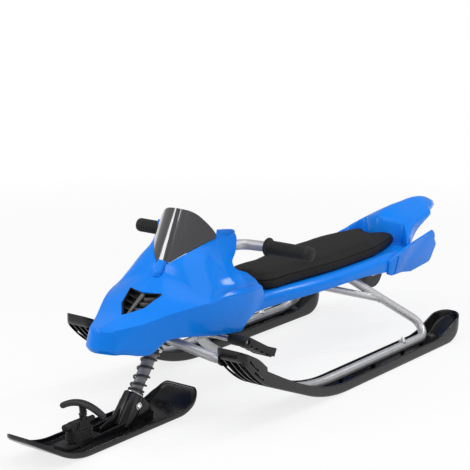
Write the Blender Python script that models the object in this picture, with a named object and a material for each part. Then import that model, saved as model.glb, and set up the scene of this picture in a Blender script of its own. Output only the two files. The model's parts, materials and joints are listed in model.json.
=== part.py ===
# Steering sled with a sprung front ski, two rear skis, a moulded cowl and a padded seat.
# Metres, +Z up. The sled points towards -Y, the rider's left is +X.
# A station is a distance behind a datum that lies a little ahead of the front ski. The origin
# lies on the ground, midway between the tip of the front ski and the tip of the tail.

import math

import bmesh
import bpy
from mathutils import Matrix, Vector

for item in list(bpy.data.objects):
    bpy.data.objects.remove(item, do_unlink=True)

# Fits
GAP = 0.0003
EDGE_GAP = 0.0012

# The whole sled
FRONT_SKI_TIP = 0.022
TAIL_TIP = 1.522
SKI_TRACK = 0.403

# Front ski
FRONT_SKI_WIDTH = 0.114
FRONT_SKI_END = 0.497
FRONT_SOLE_START = 0.160
FRONT_SOLE_END = 0.425
FRONT_NOSE_ANGLE = math.radians(31.0)
FRONT_NOSE_RADIUS = 0.160
FRONT_TAIL_ANGLE = math.radians(35.0)
FRONT_TAIL_RADIUS = 0.110
FRONT_SKI_FLOOR = 0.005
FRONT_SKI_WALL = 0.0045
FRONT_SKI_RIM = 0.014
FRONT_TIP_RIM = 0.008
RIB_START = 0.165
RIB_SPREAD = 0.0195

# Rear skis
REAR_SKI_WIDTH = 0.072
REAR_NOSE_TIP = 0.398
REAR_NOSE_END = 0.478
REAR_NOSE_CORNER = 0.016
REAR_NOSE_STEP = 0.009
REAR_NOSE_ROOF = 0.006
REAR_NOSE_RIBS = 3
REAR_NOSE_RIB = 0.0024
REAR_SOLE_START = 0.775
REAR_SOLE_END = 1.232
REAR_SKI_END = 1.278
REAR_NOSE_SLOPE = 0.406
REAR_NOSE_RADIUS = 0.400
REAR_NOSE_CURL_START = 0.500
REAR_NOSE_CURL = 3.8
REAR_TAIL_RADIUS = 0.045
REAR_SKI_FLOOR = 0.005
REAR_SKI_WALL = 0.004
REAR_SKI_RIM = 0.0235
REAR_TAIL_RIM = 0.062

# Frame tubes
TUBE_WALL = 0.0015
RAIL_RADIUS = 0.010
RAIL_HEIGHT = 0.026
RAIL_START = 0.615
RAIL_BEND = 1.199
RAIL_BEND_RADIUS = 0.032
LEG_TOP = 1.026
LEG_SPREAD = 0.058
BRACE_RADIUS = 0.008
BRACE_FOOT = 1.098
BRACE_HEAD = 0.886
ARM_RADIUS = 0.010
ARM_STATION = 0.425
ARM_HEIGHT = 0.1455
ARM_KNEE_X = 0.058
ARM_KNEE_STATION = 0.402
ARM_KNEE_HEIGHT = 0.1695
ARM_BOSS = 0.0025
ARM_BOSS_RADIUS = 0.0125
ARM_COLLAR_RADIUS = 0.0135
ARM_COLLAR_LENGTH = 0.016
BACKBONE_RADIUS = 0.0125
BACKBONE_END = 1.100
PLATE_THICKNESS = 0.004
SADDLE_STATION = 1.026
SADDLE_LENGTH = 0.110
SADDLE_WIDTH = 0.150
FRONT_PLATE_STATION = 0.720
FRONT_PLATE_LENGTH = 0.060
FRONT_PLATE_WIDTH = 0.090
RAIL_BOLT_STATION = 1.055
RAIL_BOLT_RADIUS = 0.003
RAIL_NUT_RADIUS = 0.0065
RAIL_NUT_HEIGHT = 0.007

# Steering, measured along its axis from the ground
AXIS_STATION = 0.303
AXIS_RAKE = math.radians(37.0)
TOWER_TOP = 0.075
TOWER_RADIUS = 0.0215
TOWER_FOOT_RADIUS = 0.026
STRUT_RADIUS = 0.009
STRUT_WALL = 0.002
STRUT_FOOT = 0.028
STRUT_TOP = 0.240
STRUT_BOLT = 0.054
STRUT_BOLT_RADIUS = 0.003
STRUT_BOLT_HEAD = 0.0055
SPRING_SEAT_RADIUS = 0.0185
SPRING_SEAT_HEIGHT = 0.002
SPRING_LENGTH = 0.098
SPRING_COILS = 6
SPRING_RADIUS = 0.0152
SPRING_WIRE = 0.0018
SUSPENSION_TRAVEL = 0.030
COLUMN_RADIUS = 0.0125
COLUMN_BORE = 0.0096
HEAD_RADIUS = 0.019
HEAD_BORE = 0.016
HEAD_LENGTH = 0.112
BUSH_FLANGE_RADIUS = 0.020
BUSH_FLANGE = 0.0035
BUSH_LENGTH = 0.020
COLLAR_RADIUS = 0.018
COLLAR_HEIGHT = 0.010
BAR_RADIUS = 0.011
BAR_HEIGHT = 0.410
BAR_WIDTH = 0.464
BAR_SWEEP = 0.088
CLAMP_WIDTH = 0.036
CLAMP_DEPTH = 0.036
CLAMP_HEIGHT = 0.0175
CLAMP_FLOOR = 0.007
GRIP_RADIUS = 0.0150
GRIP_LENGTH = 0.112
GRIP_END = 0.004
GRIP_FLANGE_RADIUS = 0.020
GRIP_FLANGE = 0.004

# Cowl, windshield and vent
SHELL = 0.003
COWL_NOSE = 0.240
COWL_END = 0.613
COWL_HALF_WIDTH = 0.134
COWL_SILL = 0.166
HUMP_STATION = 0.417
HUMP_LENGTH = 0.0215
HUMP_WIDTH = 0.019
SCREEN_STATION = 0.4375
SCREEN_BASE = 0.317
SCREEN_RAKE = 0.5
SCREEN_CURVE = 9.5
SCREEN_HALF_WIDTH = 0.078
SCREEN_TOP = 0.421
SCREEN_EDGE_SLOPE = 0.75
SCREEN_BASE_X = 0.018
VENT_STATION = 0.348
VENT_LENGTH = 0.077
VENT_HALF_WIDTH = 0.046
VENT_SLOPE = math.radians(31.0)
VENT_DEPTH = 0.016
VENT_LOUVRE = 0.0024
COWL_BAR_STATION = 0.562
COWL_BAR_HEIGHT = 0.237

# Seat
DECK_HEIGHT = 0.205
SEAT_START = 0.613
SEAT_HALF_WIDTH = 0.102
SEAT_SILL = 0.172
PAD_START = 0.700
LIP_STATION = 1.247
LIP_CURVE = 9.0
PAD_HEIGHT = 0.031
PAD_INSET = 0.014
TAIL_HEIGHT = 0.289
FIN_THICKNESS = 0.0075
FIN_START = 1.140
FIN_LENGTH = 0.224

# Tow line reel under the seat
REEL_STATION = 1.214
REEL_DROP = 0.060
REEL_RADIUS = 0.040
REEL_WIDTH = 0.040
REEL_WALL = 0.003
REEL_AXLE_RADIUS = 0.004
REEL_HUB_RADIUS = 0.012
REEL_FLANGE_RADIUS = 0.033

# Foot brake
BRAKE_STATION = 0.515
BRAKE_DROP = 0.0269
BRAKE_SHAFT_RADIUS = 0.006
BRAKE_SHAFT_LENGTH = 0.318
BRAKE_HUB_RADIUS = 0.010
PEDAL_INNER = 0.117
PEDAL_OUTER = 0.1625
PEDAL_LENGTH = 0.104
PEDAL_THICKNESS = 0.014
PEDAL_SLOPE = math.radians(29.0)
PEDAL_HUB_RADIUS = 0.0115
CLAW_REACH = 0.178
CLAW_HUB_WIDTH = 0.048
CLAW_WIDTH = 0.064
CLAW_ANGLE = math.radians(35.0)
CLAW_TEETH = 5
HANGER_WIDTH = 0.082
HANGER_LENGTH = 0.026

# Tow handle and line on the front ski
TOW_STATION = 0.196
TOW_BASE_START = 0.130
TOW_BASE_LENGTH = 0.108
TOW_BASE_WIDTH = 0.034
TOW_BASE_THICKNESS = 0.006
TOW_NECK_STATION = 0.184
TOW_NECK_LENGTH = 0.058
TOW_NECK_WIDTH = 0.016
TOW_NECK_TOP = 0.052
TOW_HORN_RADIUS = 0.0070
TOW_KNOB_RADIUS = 0.0060
TOW_STEM_RADIUS = 0.0070
TOW_BOW_WIDTH = 0.112
TOW_BOW_HEIGHT = 0.083
TOW_BOW_DROP = 0.015
TOW_BOW_RADIUS = 0.0060
LINE_RADIUS = 0.0018
LINE_LOOPS = 5
LINE_PITCH = 0.0042
LINE_START = 0.0138

BLUE = (0.012, 0.235, 0.870)
BLACK_PLASTIC = (0.012, 0.012, 0.013)
GREY_STEEL = (0.330, 0.330, 0.340)
BRIGHT_STEEL = (0.620, 0.620, 0.630)
SMOKE = (0.020, 0.020, 0.022)
PAD_BROWN = (0.035, 0.030, 0.028)
RUBBER = (0.018, 0.018, 0.018)


# General helpers

def along(station):
    return station - (FRONT_SKI_TIP + TAIL_TIP) / 2


def blend(value, low, high):
    share = min(max((value - low) / (high - low), 0.0), 1.0)
    return share * share * (3.0 - 2.0 * share)


def follow(value, knots):
    # Straight runs between (place, value) pairs.
    if value <= knots[0][0]:
        return knots[0][1]
    for (a, va), (b, vb) in zip(knots, knots[1:]):
        if value <= b:
            return va + (vb - va) * (value - a) / (b - a)
    return knots[-1][1]


def smooth_follow(value, knots):
    # A cubic through (place, value) pairs with slopes taken from their neighbours.
    count = len(knots)
    value = min(max(value, knots[0][0]), knots[-1][0])
    index = 0
    while index < count - 2 and value > knots[index + 1][0]:
        index += 1

    def slope(i):
        low = max(i - 1, 0)
        high = min(i + 1, count - 1)
        return (knots[high][1] - knots[low][1]) / (knots[high][0] - knots[low][0])

    (a, va), (b, vb) = knots[index], knots[index + 1]
    span = b - a
    t = (value - a) / span
    return (
        (2 * t**3 - 3 * t**2 + 1) * va
        + (t**3 - 2 * t**2 + t) * span * slope(index)
        + (-2 * t**3 + 3 * t**2) * vb
        + (t**3 - t**2) * span * slope(index + 1)
    )


def spread(low, high, count):
    return [low + (high - low) * i / (count - 1) for i in range(count)]


def material(name, colour, roughness, metallic=0.0):
    made = bpy.data.materials.new(name)
    made.use_nodes = True
    shader = made.node_tree.nodes["Principled BSDF"]
    shader.inputs["Base Color"].default_value = (*colour, 1.0)
    shader.inputs["Roughness"].default_value = roughness
    shader.inputs["Metallic"].default_value = metallic
    return made


def place(name, mesh, colour, roughness, metallic=0.0):
    made = bpy.data.objects.new(name, mesh)
    bpy.context.scene.collection.objects.link(made)
    mesh.materials.append(material(name + "_finish", colour, roughness, metallic))
    return made


def mesh_from(bm, name, smooth=True):
    bmesh.ops.recalc_face_normals(bm, faces=bm.faces)
    mesh = bpy.data.meshes.new(name)
    bm.to_mesh(mesh)
    bm.free()
    if smooth:
        mesh.shade_smooth()
        mesh.set_sharp_from_angle(angle=math.radians(35.0))
    return mesh


def hide(guide):
    guide.hide_render = True
    guide.hide_viewport = False
    guide.display_type = "WIRE"
    return guide


def guide(name, mesh):
    made = bpy.data.objects.new(name, mesh)
    bpy.context.scene.collection.objects.link(made)
    return hide(made)


def combine(target, tool, operation):
    step = target.modifiers.new(operation.lower() + "_" + tool.name, "BOOLEAN")
    step.operation = operation
    step.solver = "EXACT"
    step.object = tool


def hang(piece, parent):
    # Parents a piece modelled in world coordinates without moving it.
    bpy.context.view_layer.update()
    piece.parent = parent
    piece.matrix_parent_inverse = parent.matrix_world.inverted()


def empty(name, location, tilt=0.0):
    made = bpy.data.objects.new(name, None)
    bpy.context.scene.collection.objects.link(made)
    made.location = location
    made.rotation_euler = (tilt, 0.0, 0.0)
    bpy.context.view_layer.update()
    return made


# Mesh makers

def loft(name, rings, smooth=True):
    # Rings of equal length, each closed on itself, capped at both ends.
    bm = bmesh.new()
    loops = [[bm.verts.new(point) for point in ring] for ring in rings]
    for low, high in zip(loops, loops[1:]):
        for i in range(len(low)):
            j = (i + 1) % len(low)
            bm.faces.new((low[i], low[j], high[j], high[i]))
    bm.faces.new(loops[0])
    bm.faces.new(loops[-1])
    return mesh_from(bm, name, smooth)


def frames_along(path):
    # A steady pair of side directions at each point of a path.
    steps = [(b - a).normalized() for a, b in zip(path, path[1:])]
    first = steps[0]
    side = first.orthogonal().normalized()
    found = []
    for i, point in enumerate(path):
        before = steps[max(i - 1, 0)]
        after = steps[min(i, len(steps) - 1)]
        heading = (before + after).normalized()
        side = (side - heading * side.dot(heading)).normalized()
        stretch = 1.0 / max(before.dot(heading), 0.5)
        found.append((point, side, heading.cross(side), heading, stretch))
    return found


def tube_mesh(name, path, radius, sides=12, bore=None):
    path = [Vector(point) for point in path]
    frames = frames_along(path)

    def ring(point, side, up, reach):
        made = []
        for i in range(sides):
            angle = 2 * math.pi * (i + 0.5) / sides
            made.append(point + side * reach * math.cos(angle) + up * reach * math.sin(angle))
        return made

    outer = [ring(p, s, u, radius) for p, s, u, _, _ in frames]
    if bore is None:
        return loft(name, outer)
    inner = [ring(p, s, u, bored(bore, sides)) for p, s, u, _, _ in frames]
    bm = bmesh.new()
    loops = outer + inner[::-1]
    made = [[bm.verts.new(point) for point in loop] for loop in loops]
    for low, high in zip(made, made[1:] + made[:1]):
        for i in range(sides):
            j = (i + 1) % sides
            bm.faces.new((low[i], low[j], high[j], high[i]))
    return mesh_from(bm, name)


def rounded_path(corners, radii, step=math.radians(20.0)):
    # Corner points joined by straight runs, each corner turned on its own radius.
    corners = [Vector(corner) for corner in corners]
    path = [corners[0]]
    for before, corner, after, radius in zip(corners, corners[1:], corners[2:], radii):
        toward = (before - corner).normalized()
        away = (after - corner).normalized()
        turn = math.pi - toward.angle(away)
        if turn < 1e-4 or radius <= 0.0:
            path.append(corner)
            continue
        setback = radius * math.tan(turn / 2)
        centre = corner + (toward + away).normalized() * radius / math.cos(turn / 2)
        start = corner + toward * setback - centre
        axis = start.cross(corner + away * setback - centre).normalized()
        pieces = max(2, math.ceil(turn / step))
        for i in range(pieces + 1):
            path.append(centre + Matrix.Rotation(turn * i / pieces, 3, axis) @ start)
    path.append(corners[-1])
    return path


def turned_mesh(name, profile, sides=20):
    # A profile of (radius, height) pairs turned about Z. Points on the axis become poles.
    bm = bmesh.new()
    loops = []
    for radius, height in profile:
        if radius < 1e-7:
            loops.append([bm.verts.new((0.0, 0.0, height))])
            continue
        ring = []
        for i in range(sides):
            angle = 2 * math.pi * (i + 0.5) / sides
            ring.append(bm.verts.new((radius * math.cos(angle), radius * math.sin(angle), height)))
        loops.append(ring)
    pairs = list(zip(loops, loops[1:]))
    if len(loops[0]) > 1 and len(loops[-1]) > 1:
        pairs.append((loops[-1], loops[0]))
    for low, high in pairs:
        for i in range(sides):
            j = (i + 1) % sides
            if len(low) == 1:
                bm.faces.new((low[0], high[j], high[i]))
            elif len(high) == 1:
                bm.faces.new((low[i], low[j], high[0]))
            else:
                bm.faces.new((low[i], low[j], high[j], high[i]))
    return mesh_from(bm, name)


def bored(radius, sides=20):
    # The corner radius of a many-sided bore whose flats lie at a radius.
    return radius / math.cos(math.pi / sides)


def ring_profile(outer, bore, low, high):
    inner = bored(bore)
    return [(outer, low), (outer, high), (inner, high), (inner, low)]


def rod_profile(radius, low, high):
    return [(0.0, low), (radius, low), (radius, high), (0.0, high)]


def prism_mesh(name, outline, axis, low, high):
    # An outline of (u, v) pairs pushed along X, Y or Z.
    def point(u, v, w):
        return {"X": (w, u, v), "Y": (u, w, v), "Z": (u, v, w)}[axis]

    rings = [[point(u, v, w) for u, v in outline] for w in (low, high)]
    return loft(name, rings, smooth=False)


def box_mesh(name, low, high):
    outline = [(low[0], low[1]), (high[0], low[1]), (high[0], high[1]), (low[0], high[1])]
    return prism_mesh(name, outline, "Z", low[2], high[2])


def rounded_outline(corners, radii, step=math.radians(20.0)):
    # A closed outline of (u, v) corners, each turned on its own radius.
    made = []
    count = len(corners)
    for i, radius in enumerate(radii):
        trio = [corners[i - 1], corners[i], corners[(i + 1) % count]]
        path = rounded_path([(u, v, 0.0) for u, v in trio], [radius], step)
        made += [(point.x, point.y) for point in path[1:-1]]
    return made


def rod_guide(name, start, end, radius, sides=16):
    return guide(name, tube_mesh(name, [start, end], radius, sides))


def bore_guide(name, start, end, radius, sides=20):
    return guide(name, tube_mesh(name, [start, end], bored(radius, sides), sides))


def thicken(piece, thickness):
    step = piece.modifiers.new("shell", "SOLIDIFY")
    step.thickness = thickness
    step.offset = -1.0
    step.use_even_offset = True
    step.use_rim = True


def sheet_mesh(name, rows, up=True):
    # A grid of points as one open sheet. Equal points are merged.
    bm = bmesh.new()
    grid = [[bm.verts.new(point) for point in row] for row in rows]
    for low, high in zip(grid, grid[1:]):
        for i in range(len(low) - 1):
            bm.faces.new((low[i], low[i + 1], high[i + 1], high[i]))
    bmesh.ops.remove_doubles(bm, verts=bm.verts, dist=0.00002)
    bmesh.ops.dissolve_degenerate(bm, edges=bm.edges, dist=0.00001)
    mesh = bpy.data.meshes.new(name)
    bmesh.ops.recalc_face_normals(bm, faces=bm.faces)
    lift = sum(face.normal.z * face.calc_area() for face in bm.faces)
    if (lift < 0.0) == up:
        bmesh.ops.reverse_faces(bm, faces=bm.faces)
    bm.to_mesh(mesh)
    bm.free()
    mesh.shade_smooth()
    return mesh


# Skis

def turned_up(distance, radius, slope):
    # Height of a sole that leaves the ground on an arc and then runs straight at its slope.
    angle = math.atan(slope)
    if distance <= 0.0:
        return 0.0
    if distance < radius * math.sin(angle):
        return radius - math.sqrt(radius**2 - distance**2)
    rest = distance - radius * math.sin(angle)
    return radius * (1 - math.cos(angle)) + rest * slope


def front_sole(station):
    nose = turned_up(FRONT_SOLE_START - station, FRONT_NOSE_RADIUS, math.tan(FRONT_NOSE_ANGLE))
    tail = turned_up(station - FRONT_SOLE_END, FRONT_TAIL_RADIUS, math.tan(FRONT_TAIL_ANGLE))
    return nose + tail


def rear_sole(station):
    nose = turned_up(REAR_SOLE_START - station, REAR_NOSE_RADIUS, REAR_NOSE_SLOPE)
    curl = REAR_NOSE_CURL * max(0.0, REAR_NOSE_CURL_START - station) ** 2
    tail = turned_up(station - REAR_SOLE_END, REAR_TAIL_RADIUS, 1.5)
    return nose + curl + tail


def rounded_end(distance, half_width, reach, least):
    # Half width near a rounded end, at a distance from it.
    share = min(max(distance / reach, 0.0), 1.0)
    return least + (half_width - least) * math.sqrt(max(0.0, 1.0 - (1.0 - share) ** 2))


def front_half_width(station):
    nose = rounded_end(station - FRONT_SKI_TIP, FRONT_SKI_WIDTH / 2, 0.062, 0.008)
    tail = rounded_end(FRONT_SKI_END - station, FRONT_SKI_WIDTH / 2, 0.034, 0.030)
    return min(nose, tail)


def front_rim(station):
    return follow(station, [
        (FRONT_SKI_TIP, FRONT_TIP_RIM), (0.065, 0.010), (0.130, FRONT_SKI_RIM),
    ])


def rear_half_width(station):
    return rounded_end(REAR_SKI_END - station, REAR_SKI_WIDTH / 2, 0.034, 0.014)


def dish_mesh(name, stations, half_width, sole, rim, wall, floor, centre):
    # A shallow open tray that follows a sole. Four rings: sole, rim outside, rim inside, floor.
    first, last = stations[0], stations[-1]

    def ring(inset, lift):
        left, right = [], []
        for station in stations:
            share = (station - first) / (last - first)
            place_at = first + inset + share * (last - first - 2 * inset)
            reach = max(half_width(station) - inset, 0.003)
            height = sole(place_at) + (rim(station) if lift is None else lift)
            left.append(Vector((centre + reach, along(place_at), height)))
            right.append(Vector((centre - reach, along(place_at), height)))
        return left, right

    bm = bmesh.new()
    made = []
    for inset, lift in ((0.002, 0.0), (0.0, 0.004), (0.0, None), (wall, None), (wall, floor)):
        left, right = ring(inset, lift)
        made.append(([bm.verts.new(p) for p in left], [bm.verts.new(p) for p in right]))

    def strip(a, b):
        for i in range(len(a) - 1):
            bm.faces.new((a[i], a[i + 1], b[i + 1], b[i]))

    for (left_a, right_a), (left_b, right_b) in zip(made, made[1:]):
        strip(left_a + right_a[::-1] + left_a[:1], left_b + right_b[::-1] + left_b[:1])
    for left, right in (made[0], made[-1]):
        strip(left, right)
    return mesh_from(bm, name)


def on_axis(distance, x=0.0):
    return Vector((
        x,
        along(AXIS_STATION) + distance * math.sin(AXIS_RAKE),
        distance * math.cos(AXIS_RAKE),
    ))


def tower_radius(distance):
    return follow(distance, [(0.0, TOWER_FOOT_RADIUS), (TOWER_TOP, TOWER_RADIUS)])


def front_ski(parent):
    tip = FRONT_SKI_TIP
    stations = [tip, tip + 0.002, tip + 0.006, tip + 0.012, tip + 0.020, tip + 0.032, tip + 0.046]
    stations += spread(tip + 0.062, FRONT_SOLE_START, 6)
    stations += [0.24, 0.33] + spread(FRONT_SOLE_END, FRONT_SKI_END - 0.030, 4)
    stations += spread(FRONT_SKI_END - 0.020, FRONT_SKI_END, 4)
    mesh = dish_mesh(
        "front_ski", stations, front_half_width, front_sole, front_rim,
        FRONT_SKI_WALL, FRONT_SKI_FLOOR, 0.0,
    )
    ski = place("front_ski", mesh, BLACK_PLASTIC, 0.30)
    deck = FRONT_SKI_FLOOR
    up = (on_axis(1.0) - on_axis(0.0)).normalized()
    side_way = Vector((1.0, 0.0, 0.0))
    rings = []
    for distance in (0.002, TOWER_TOP):
        ring = []
        for i in range(20):
            angle = 2 * math.pi * (i + 0.5) / 20
            way = side_way * math.cos(angle) + up.cross(side_way) * math.sin(angle)
            ring.append(on_axis(distance) + way * tower_radius(distance))
        rings.append(ring)
    combine(ski, guide("tower", loft("tower", rings)), "UNION")
    # The tower is cut level with the sole, so nothing stands below the ski.
    for side in (-1, 1):
        fin = [
            (along(RIB_START), deck - 0.002),
            (along(AXIS_STATION), deck - 0.002),
            (along(AXIS_STATION) + 0.02, 0.045),
            (along(AXIS_STATION - 0.035), 0.050),
            (along(RIB_START + 0.006), 0.018),
        ]
        middle = side * RIB_SPREAD
        mesh = prism_mesh("fin", fin, "X", middle - 0.0016, middle + 0.0016)
        combine(ski, guide("fin_%d" % side, mesh), "UNION")
    heel = [
        (along(AXIS_STATION) + 0.01, deck - 0.002),
        (along(AXIS_STATION + 0.105), deck - 0.002),
        (along(AXIS_STATION + 0.100), deck + 0.006),
        (along(AXIS_STATION + 0.040), 0.038),
    ]
    mesh = prism_mesh("heel", heel, "X", -0.002, 0.002)
    combine(ski, guide("heel", mesh), "UNION")
    under = box_mesh(
        "under",
        (-TOWER_RADIUS * 2, along(AXIS_STATION) - 0.06, -0.05),
        (TOWER_RADIUS * 2, along(AXIS_STATION) + 0.06, 0.0),
    )
    combine(ski, guide("under", under), "DIFFERENCE")
    bore = bore_guide(
        "strut_bore", on_axis(STRUT_FOOT - GAP), on_axis(TOWER_TOP + 0.02), STRUT_RADIUS + GAP, 16
    )
    combine(ski, bore, "DIFFERENCE")
    reach = TOWER_RADIUS + 0.02
    hole = bore_guide(
        "strut_bolt_hole", on_axis(STRUT_BOLT, -reach), on_axis(STRUT_BOLT, reach),
        STRUT_BOLT_RADIUS + GAP, 10,
    )
    combine(ski, hole, "DIFFERENCE")
    hang(ski, parent)
    return hole


def rear_nose_top(station):
    # The upper edge of the closed nose, down to the step where the open tray begins.
    return follow(station, [
        (REAR_NOSE_TIP, 0.181), (0.425, 0.167), (0.452, 0.152),
        (REAR_NOSE_END, rear_sole(REAR_NOSE_END) + 0.031 + REAR_NOSE_STEP),
        (REAR_NOSE_END + 0.001, rear_sole(REAR_NOSE_END) + 0.031),
        (0.538, rear_sole(0.538) + 0.027), (0.590, rear_sole(0.590) + REAR_SKI_RIM),
    ])


def nose_block(name, centre):
    tip, end = REAR_NOSE_TIP, REAR_NOSE_END
    corner = REAR_NOSE_CORNER
    stations = [tip + corner * (1 - math.cos(math.radians(a))) for a in (0, 25, 50, 70, 90)]
    stations += [0.425, 0.438, 0.452, 0.466, end, end + 0.001, 0.500, 0.520, 0.545]
    rings = []
    for station in stations:
        inward = max(0.0, tip + corner - station)
        half = REAR_SKI_WIDTH / 2 - corner + math.sqrt(max(0.0, corner**2 - inward**2))
        low, high = rear_sole(station), rear_nose_top(station)
        if station > 0.53:
            high = low + REAR_SKI_FLOOR
        rings.append([
            (centre + half, along(station), low), (centre + half, along(station), high),
            (centre - half, along(station), high), (centre - half, along(station), low),
        ])
    return loft(name, rings, smooth=False)


def nose_hollow():
    # The side outline of the hollows under the nose, below its roof.
    tip = REAR_NOSE_TIP
    places = [tip + 0.0055, 0.420, 0.440, 0.460, REAR_NOSE_END, 0.505]
    roof = [(s, rear_nose_top(s) - REAR_NOSE_ROOF) for s in places[:4]]
    roof += [(places[4], rear_sole(places[4]) + 0.023), (places[5], rear_sole(places[5]) + 0.018)]
    under = [(s, rear_sole(s) - 0.02) for s in (0.548, 0.500, 0.450, 0.415, tip + 0.0055)]
    return [(along(s), z) for s, z in roof + under]


def nose_slots():
    # Two slanted windows through each side of the nose.
    made = []
    for start, end, low, high in ((0.418, 0.449, 0.0165, 0.0240), (0.434, 0.466, 0.0055, 0.0125)):
        corners = [
            (start, low), (end, low), (end, high - 0.0015), (start + 0.004, high),
        ]
        made.append([(along(s), rear_sole(s) + lift) for s, lift in corners])
    return made


def rear_rim(station):
    top = follow(station, [
        (1.140, REAR_SKI_RIM), (1.190, 0.030), (1.222, 0.040), (1.250, 0.052),
        (REAR_SKI_END, REAR_TAIL_RIM),
    ])
    if station > 1.140:
        return top - rear_sole(station)
    if station < 0.590:
        return rear_nose_top(station) - rear_sole(station)
    return REAR_SKI_RIM


def rear_ski(side, name):
    centre = side * SKI_TRACK / 2
    half = REAR_SKI_WIDTH / 2
    start = 0.512
    stations = [start, 0.538, 0.565, 0.590] + spread(0.625, REAR_SOLE_START, 5) + [0.93, 1.08]
    stations += [1.140, 1.190, 1.222, REAR_SOLE_END, 1.244] + spread(1.254, REAR_SKI_END, 5)
    mesh = dish_mesh(
        name, stations, rear_half_width, rear_sole, rear_rim, REAR_SKI_WALL, REAR_SKI_FLOOR, centre
    )
    ski = place(name, mesh, BLACK_PLASTIC, 0.28)
    combine(ski, guide(name + "_nose", nose_block("nose", centre)), "UNION")
    inner = centre - side * half
    boss = rod_guide(
        name + "_boss", (inner + side * 0.003, along(ARM_STATION), ARM_HEIGHT),
        (inner - side * ARM_BOSS, along(ARM_STATION), ARM_HEIGHT), ARM_BOSS_RADIUS, 16,
    )
    combine(ski, boss, "UNION")
    lane = (REAR_SKI_WIDTH - 2 * REAR_SKI_WALL + REAR_NOSE_RIB) / (REAR_NOSE_RIBS + 1)
    hollow = nose_hollow()
    for number in range(REAR_NOSE_RIBS + 1):
        low = centre - half + REAR_SKI_WALL + lane * number
        cut = prism_mesh("hollow", hollow, "X", low, low + lane - REAR_NOSE_RIB)
        combine(ski, guide("%s_hollow_%d" % (name, number), cut), "DIFFERENCE")
    for number, outline in enumerate(nose_slots()):
        cut = prism_mesh("slot", outline, "X", centre - half - 0.01, centre + half + 0.01)
        combine(ski, guide("%s_slot_%d" % (name, number), cut), "DIFFERENCE")
    # Cross ribs carry the rail.
    for number, station in enumerate((0.800, 0.930, RAIL_BOLT_STATION, 1.140)):
        low = (centre - half + 0.003, along(station) - 0.004, 0.003)
        high = (centre + half - 0.003, along(station) + 0.004, RAIL_HEIGHT - RAIL_RADIUS - GAP)
        rib = box_mesh("rib", low, high)
        combine(ski, guide("%s_rib_%d" % (name, number), rib), "UNION")
    bolt = Vector((centre, along(RAIL_BOLT_STATION), 0.0))
    hole = bore_guide(
        name + "_bolt_hole", bolt + Vector((0, 0, 0.002)), bolt + Vector((0, 0, 0.08)),
        RAIL_BOLT_RADIUS + GAP, 10,
    )
    combine(ski, hole, "DIFFERENCE")
    return hole


# Frame

def deck_underside():
    return DECK_HEIGHT - SHELL


def plate_bottom():
    return deck_underside() - GAP - PLATE_THICKNESS


def backbone_height():
    return plate_bottom() - GAP - BACKBONE_RADIUS


def head_low():
    # The lower end of the head tube, above the spring, its seat and the lower bush's flange.
    return spring_high() + 2 * SPRING_SEAT_HEIGHT + GAP * 3 + BUSH_FLANGE


def head_high():
    return head_low() + HEAD_LENGTH


def column_top():
    # The column ends below the clamp's floor, which lies under the handlebar.
    return BAR_HEIGHT - BAR_RADIUS - CLAMP_FLOOR


def brake_height():
    return backbone_height() - BRAKE_DROP


def reel_height():
    return deck_underside() - REEL_DROP


def spring_low():
    return TOWER_TOP + GAP + SPRING_SEAT_HEIGHT


def spring_high():
    return spring_low() + SPRING_LENGTH


def leg_foot(side):
    return Vector((side * SKI_TRACK / 2, along(RAIL_BEND), RAIL_HEIGHT))


def leg_knee(side):
    return Vector((side * LEG_SPREAD, along(LEG_TOP), plate_bottom() - GAP - 0.022))


def rail(side, name, hole):
    x = side * SKI_TRACK / 2
    clear = REAR_SKI_FLOOR + RAIL_RADIUS + 0.002
    corners = [
        (x, along(RAIL_START), rear_sole(RAIL_START) + clear),
        (x, along(0.690), rear_sole(0.690) + clear + 0.001),
        (x, along(0.790), RAIL_HEIGHT),
        leg_foot(side),
        leg_knee(side),
        (side * LEG_SPREAD, along(LEG_TOP), plate_bottom() - GAP),
    ]
    path = rounded_path(corners, [0.30, 0.20, RAIL_BEND_RADIUS, 0.018])
    mesh = tube_mesh(name, path, RAIL_RADIUS, 12, RAIL_RADIUS - TUBE_WALL)
    made = place(name, mesh, GREY_STEEL, 0.35, 0.7)
    combine(made, hole, "DIFFERENCE")
    return made


def leg_point(side, station):
    foot, knee = leg_foot(side), leg_knee(side)
    share = (station - RAIL_BEND) / (LEG_TOP - RAIL_BEND)
    return foot + (knee - foot) * share


def brace(side, name):
    foot = leg_point(side, BRACE_FOOT)
    head = Vector((0.0, along(BRACE_HEAD), backbone_height()))
    mesh = tube_mesh(name, [foot, head], BRACE_RADIUS, 10, BRACE_RADIUS - TUBE_WALL)
    made = place(name, mesh, GREY_STEEL, 0.35, 0.7)
    front = Vector((0.0, along(BRACE_HEAD) - 0.1, backbone_height()))
    back = Vector((0.0, along(BRACE_HEAD) + 0.1, backbone_height()))
    spine = bore_guide(name + "_spine", front, back, BACKBONE_RADIUS + GAP, 20)
    combine(made, spine, "DIFFERENCE")
    keep_side = box_mesh("half", (-0.3 * side, -1.0, -0.1), (0.0, 1.0, 0.6))
    combine(made, guide(name + "_half", keep_side), "DIFFERENCE")
    low, high = leg_point(side, BRACE_FOOT + 0.07), leg_point(side, BRACE_FOOT - 0.07)
    leg = bore_guide(name + "_leg", low, high, RAIL_RADIUS + GAP, 20)
    combine(made, leg, "DIFFERENCE")
    return made


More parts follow.
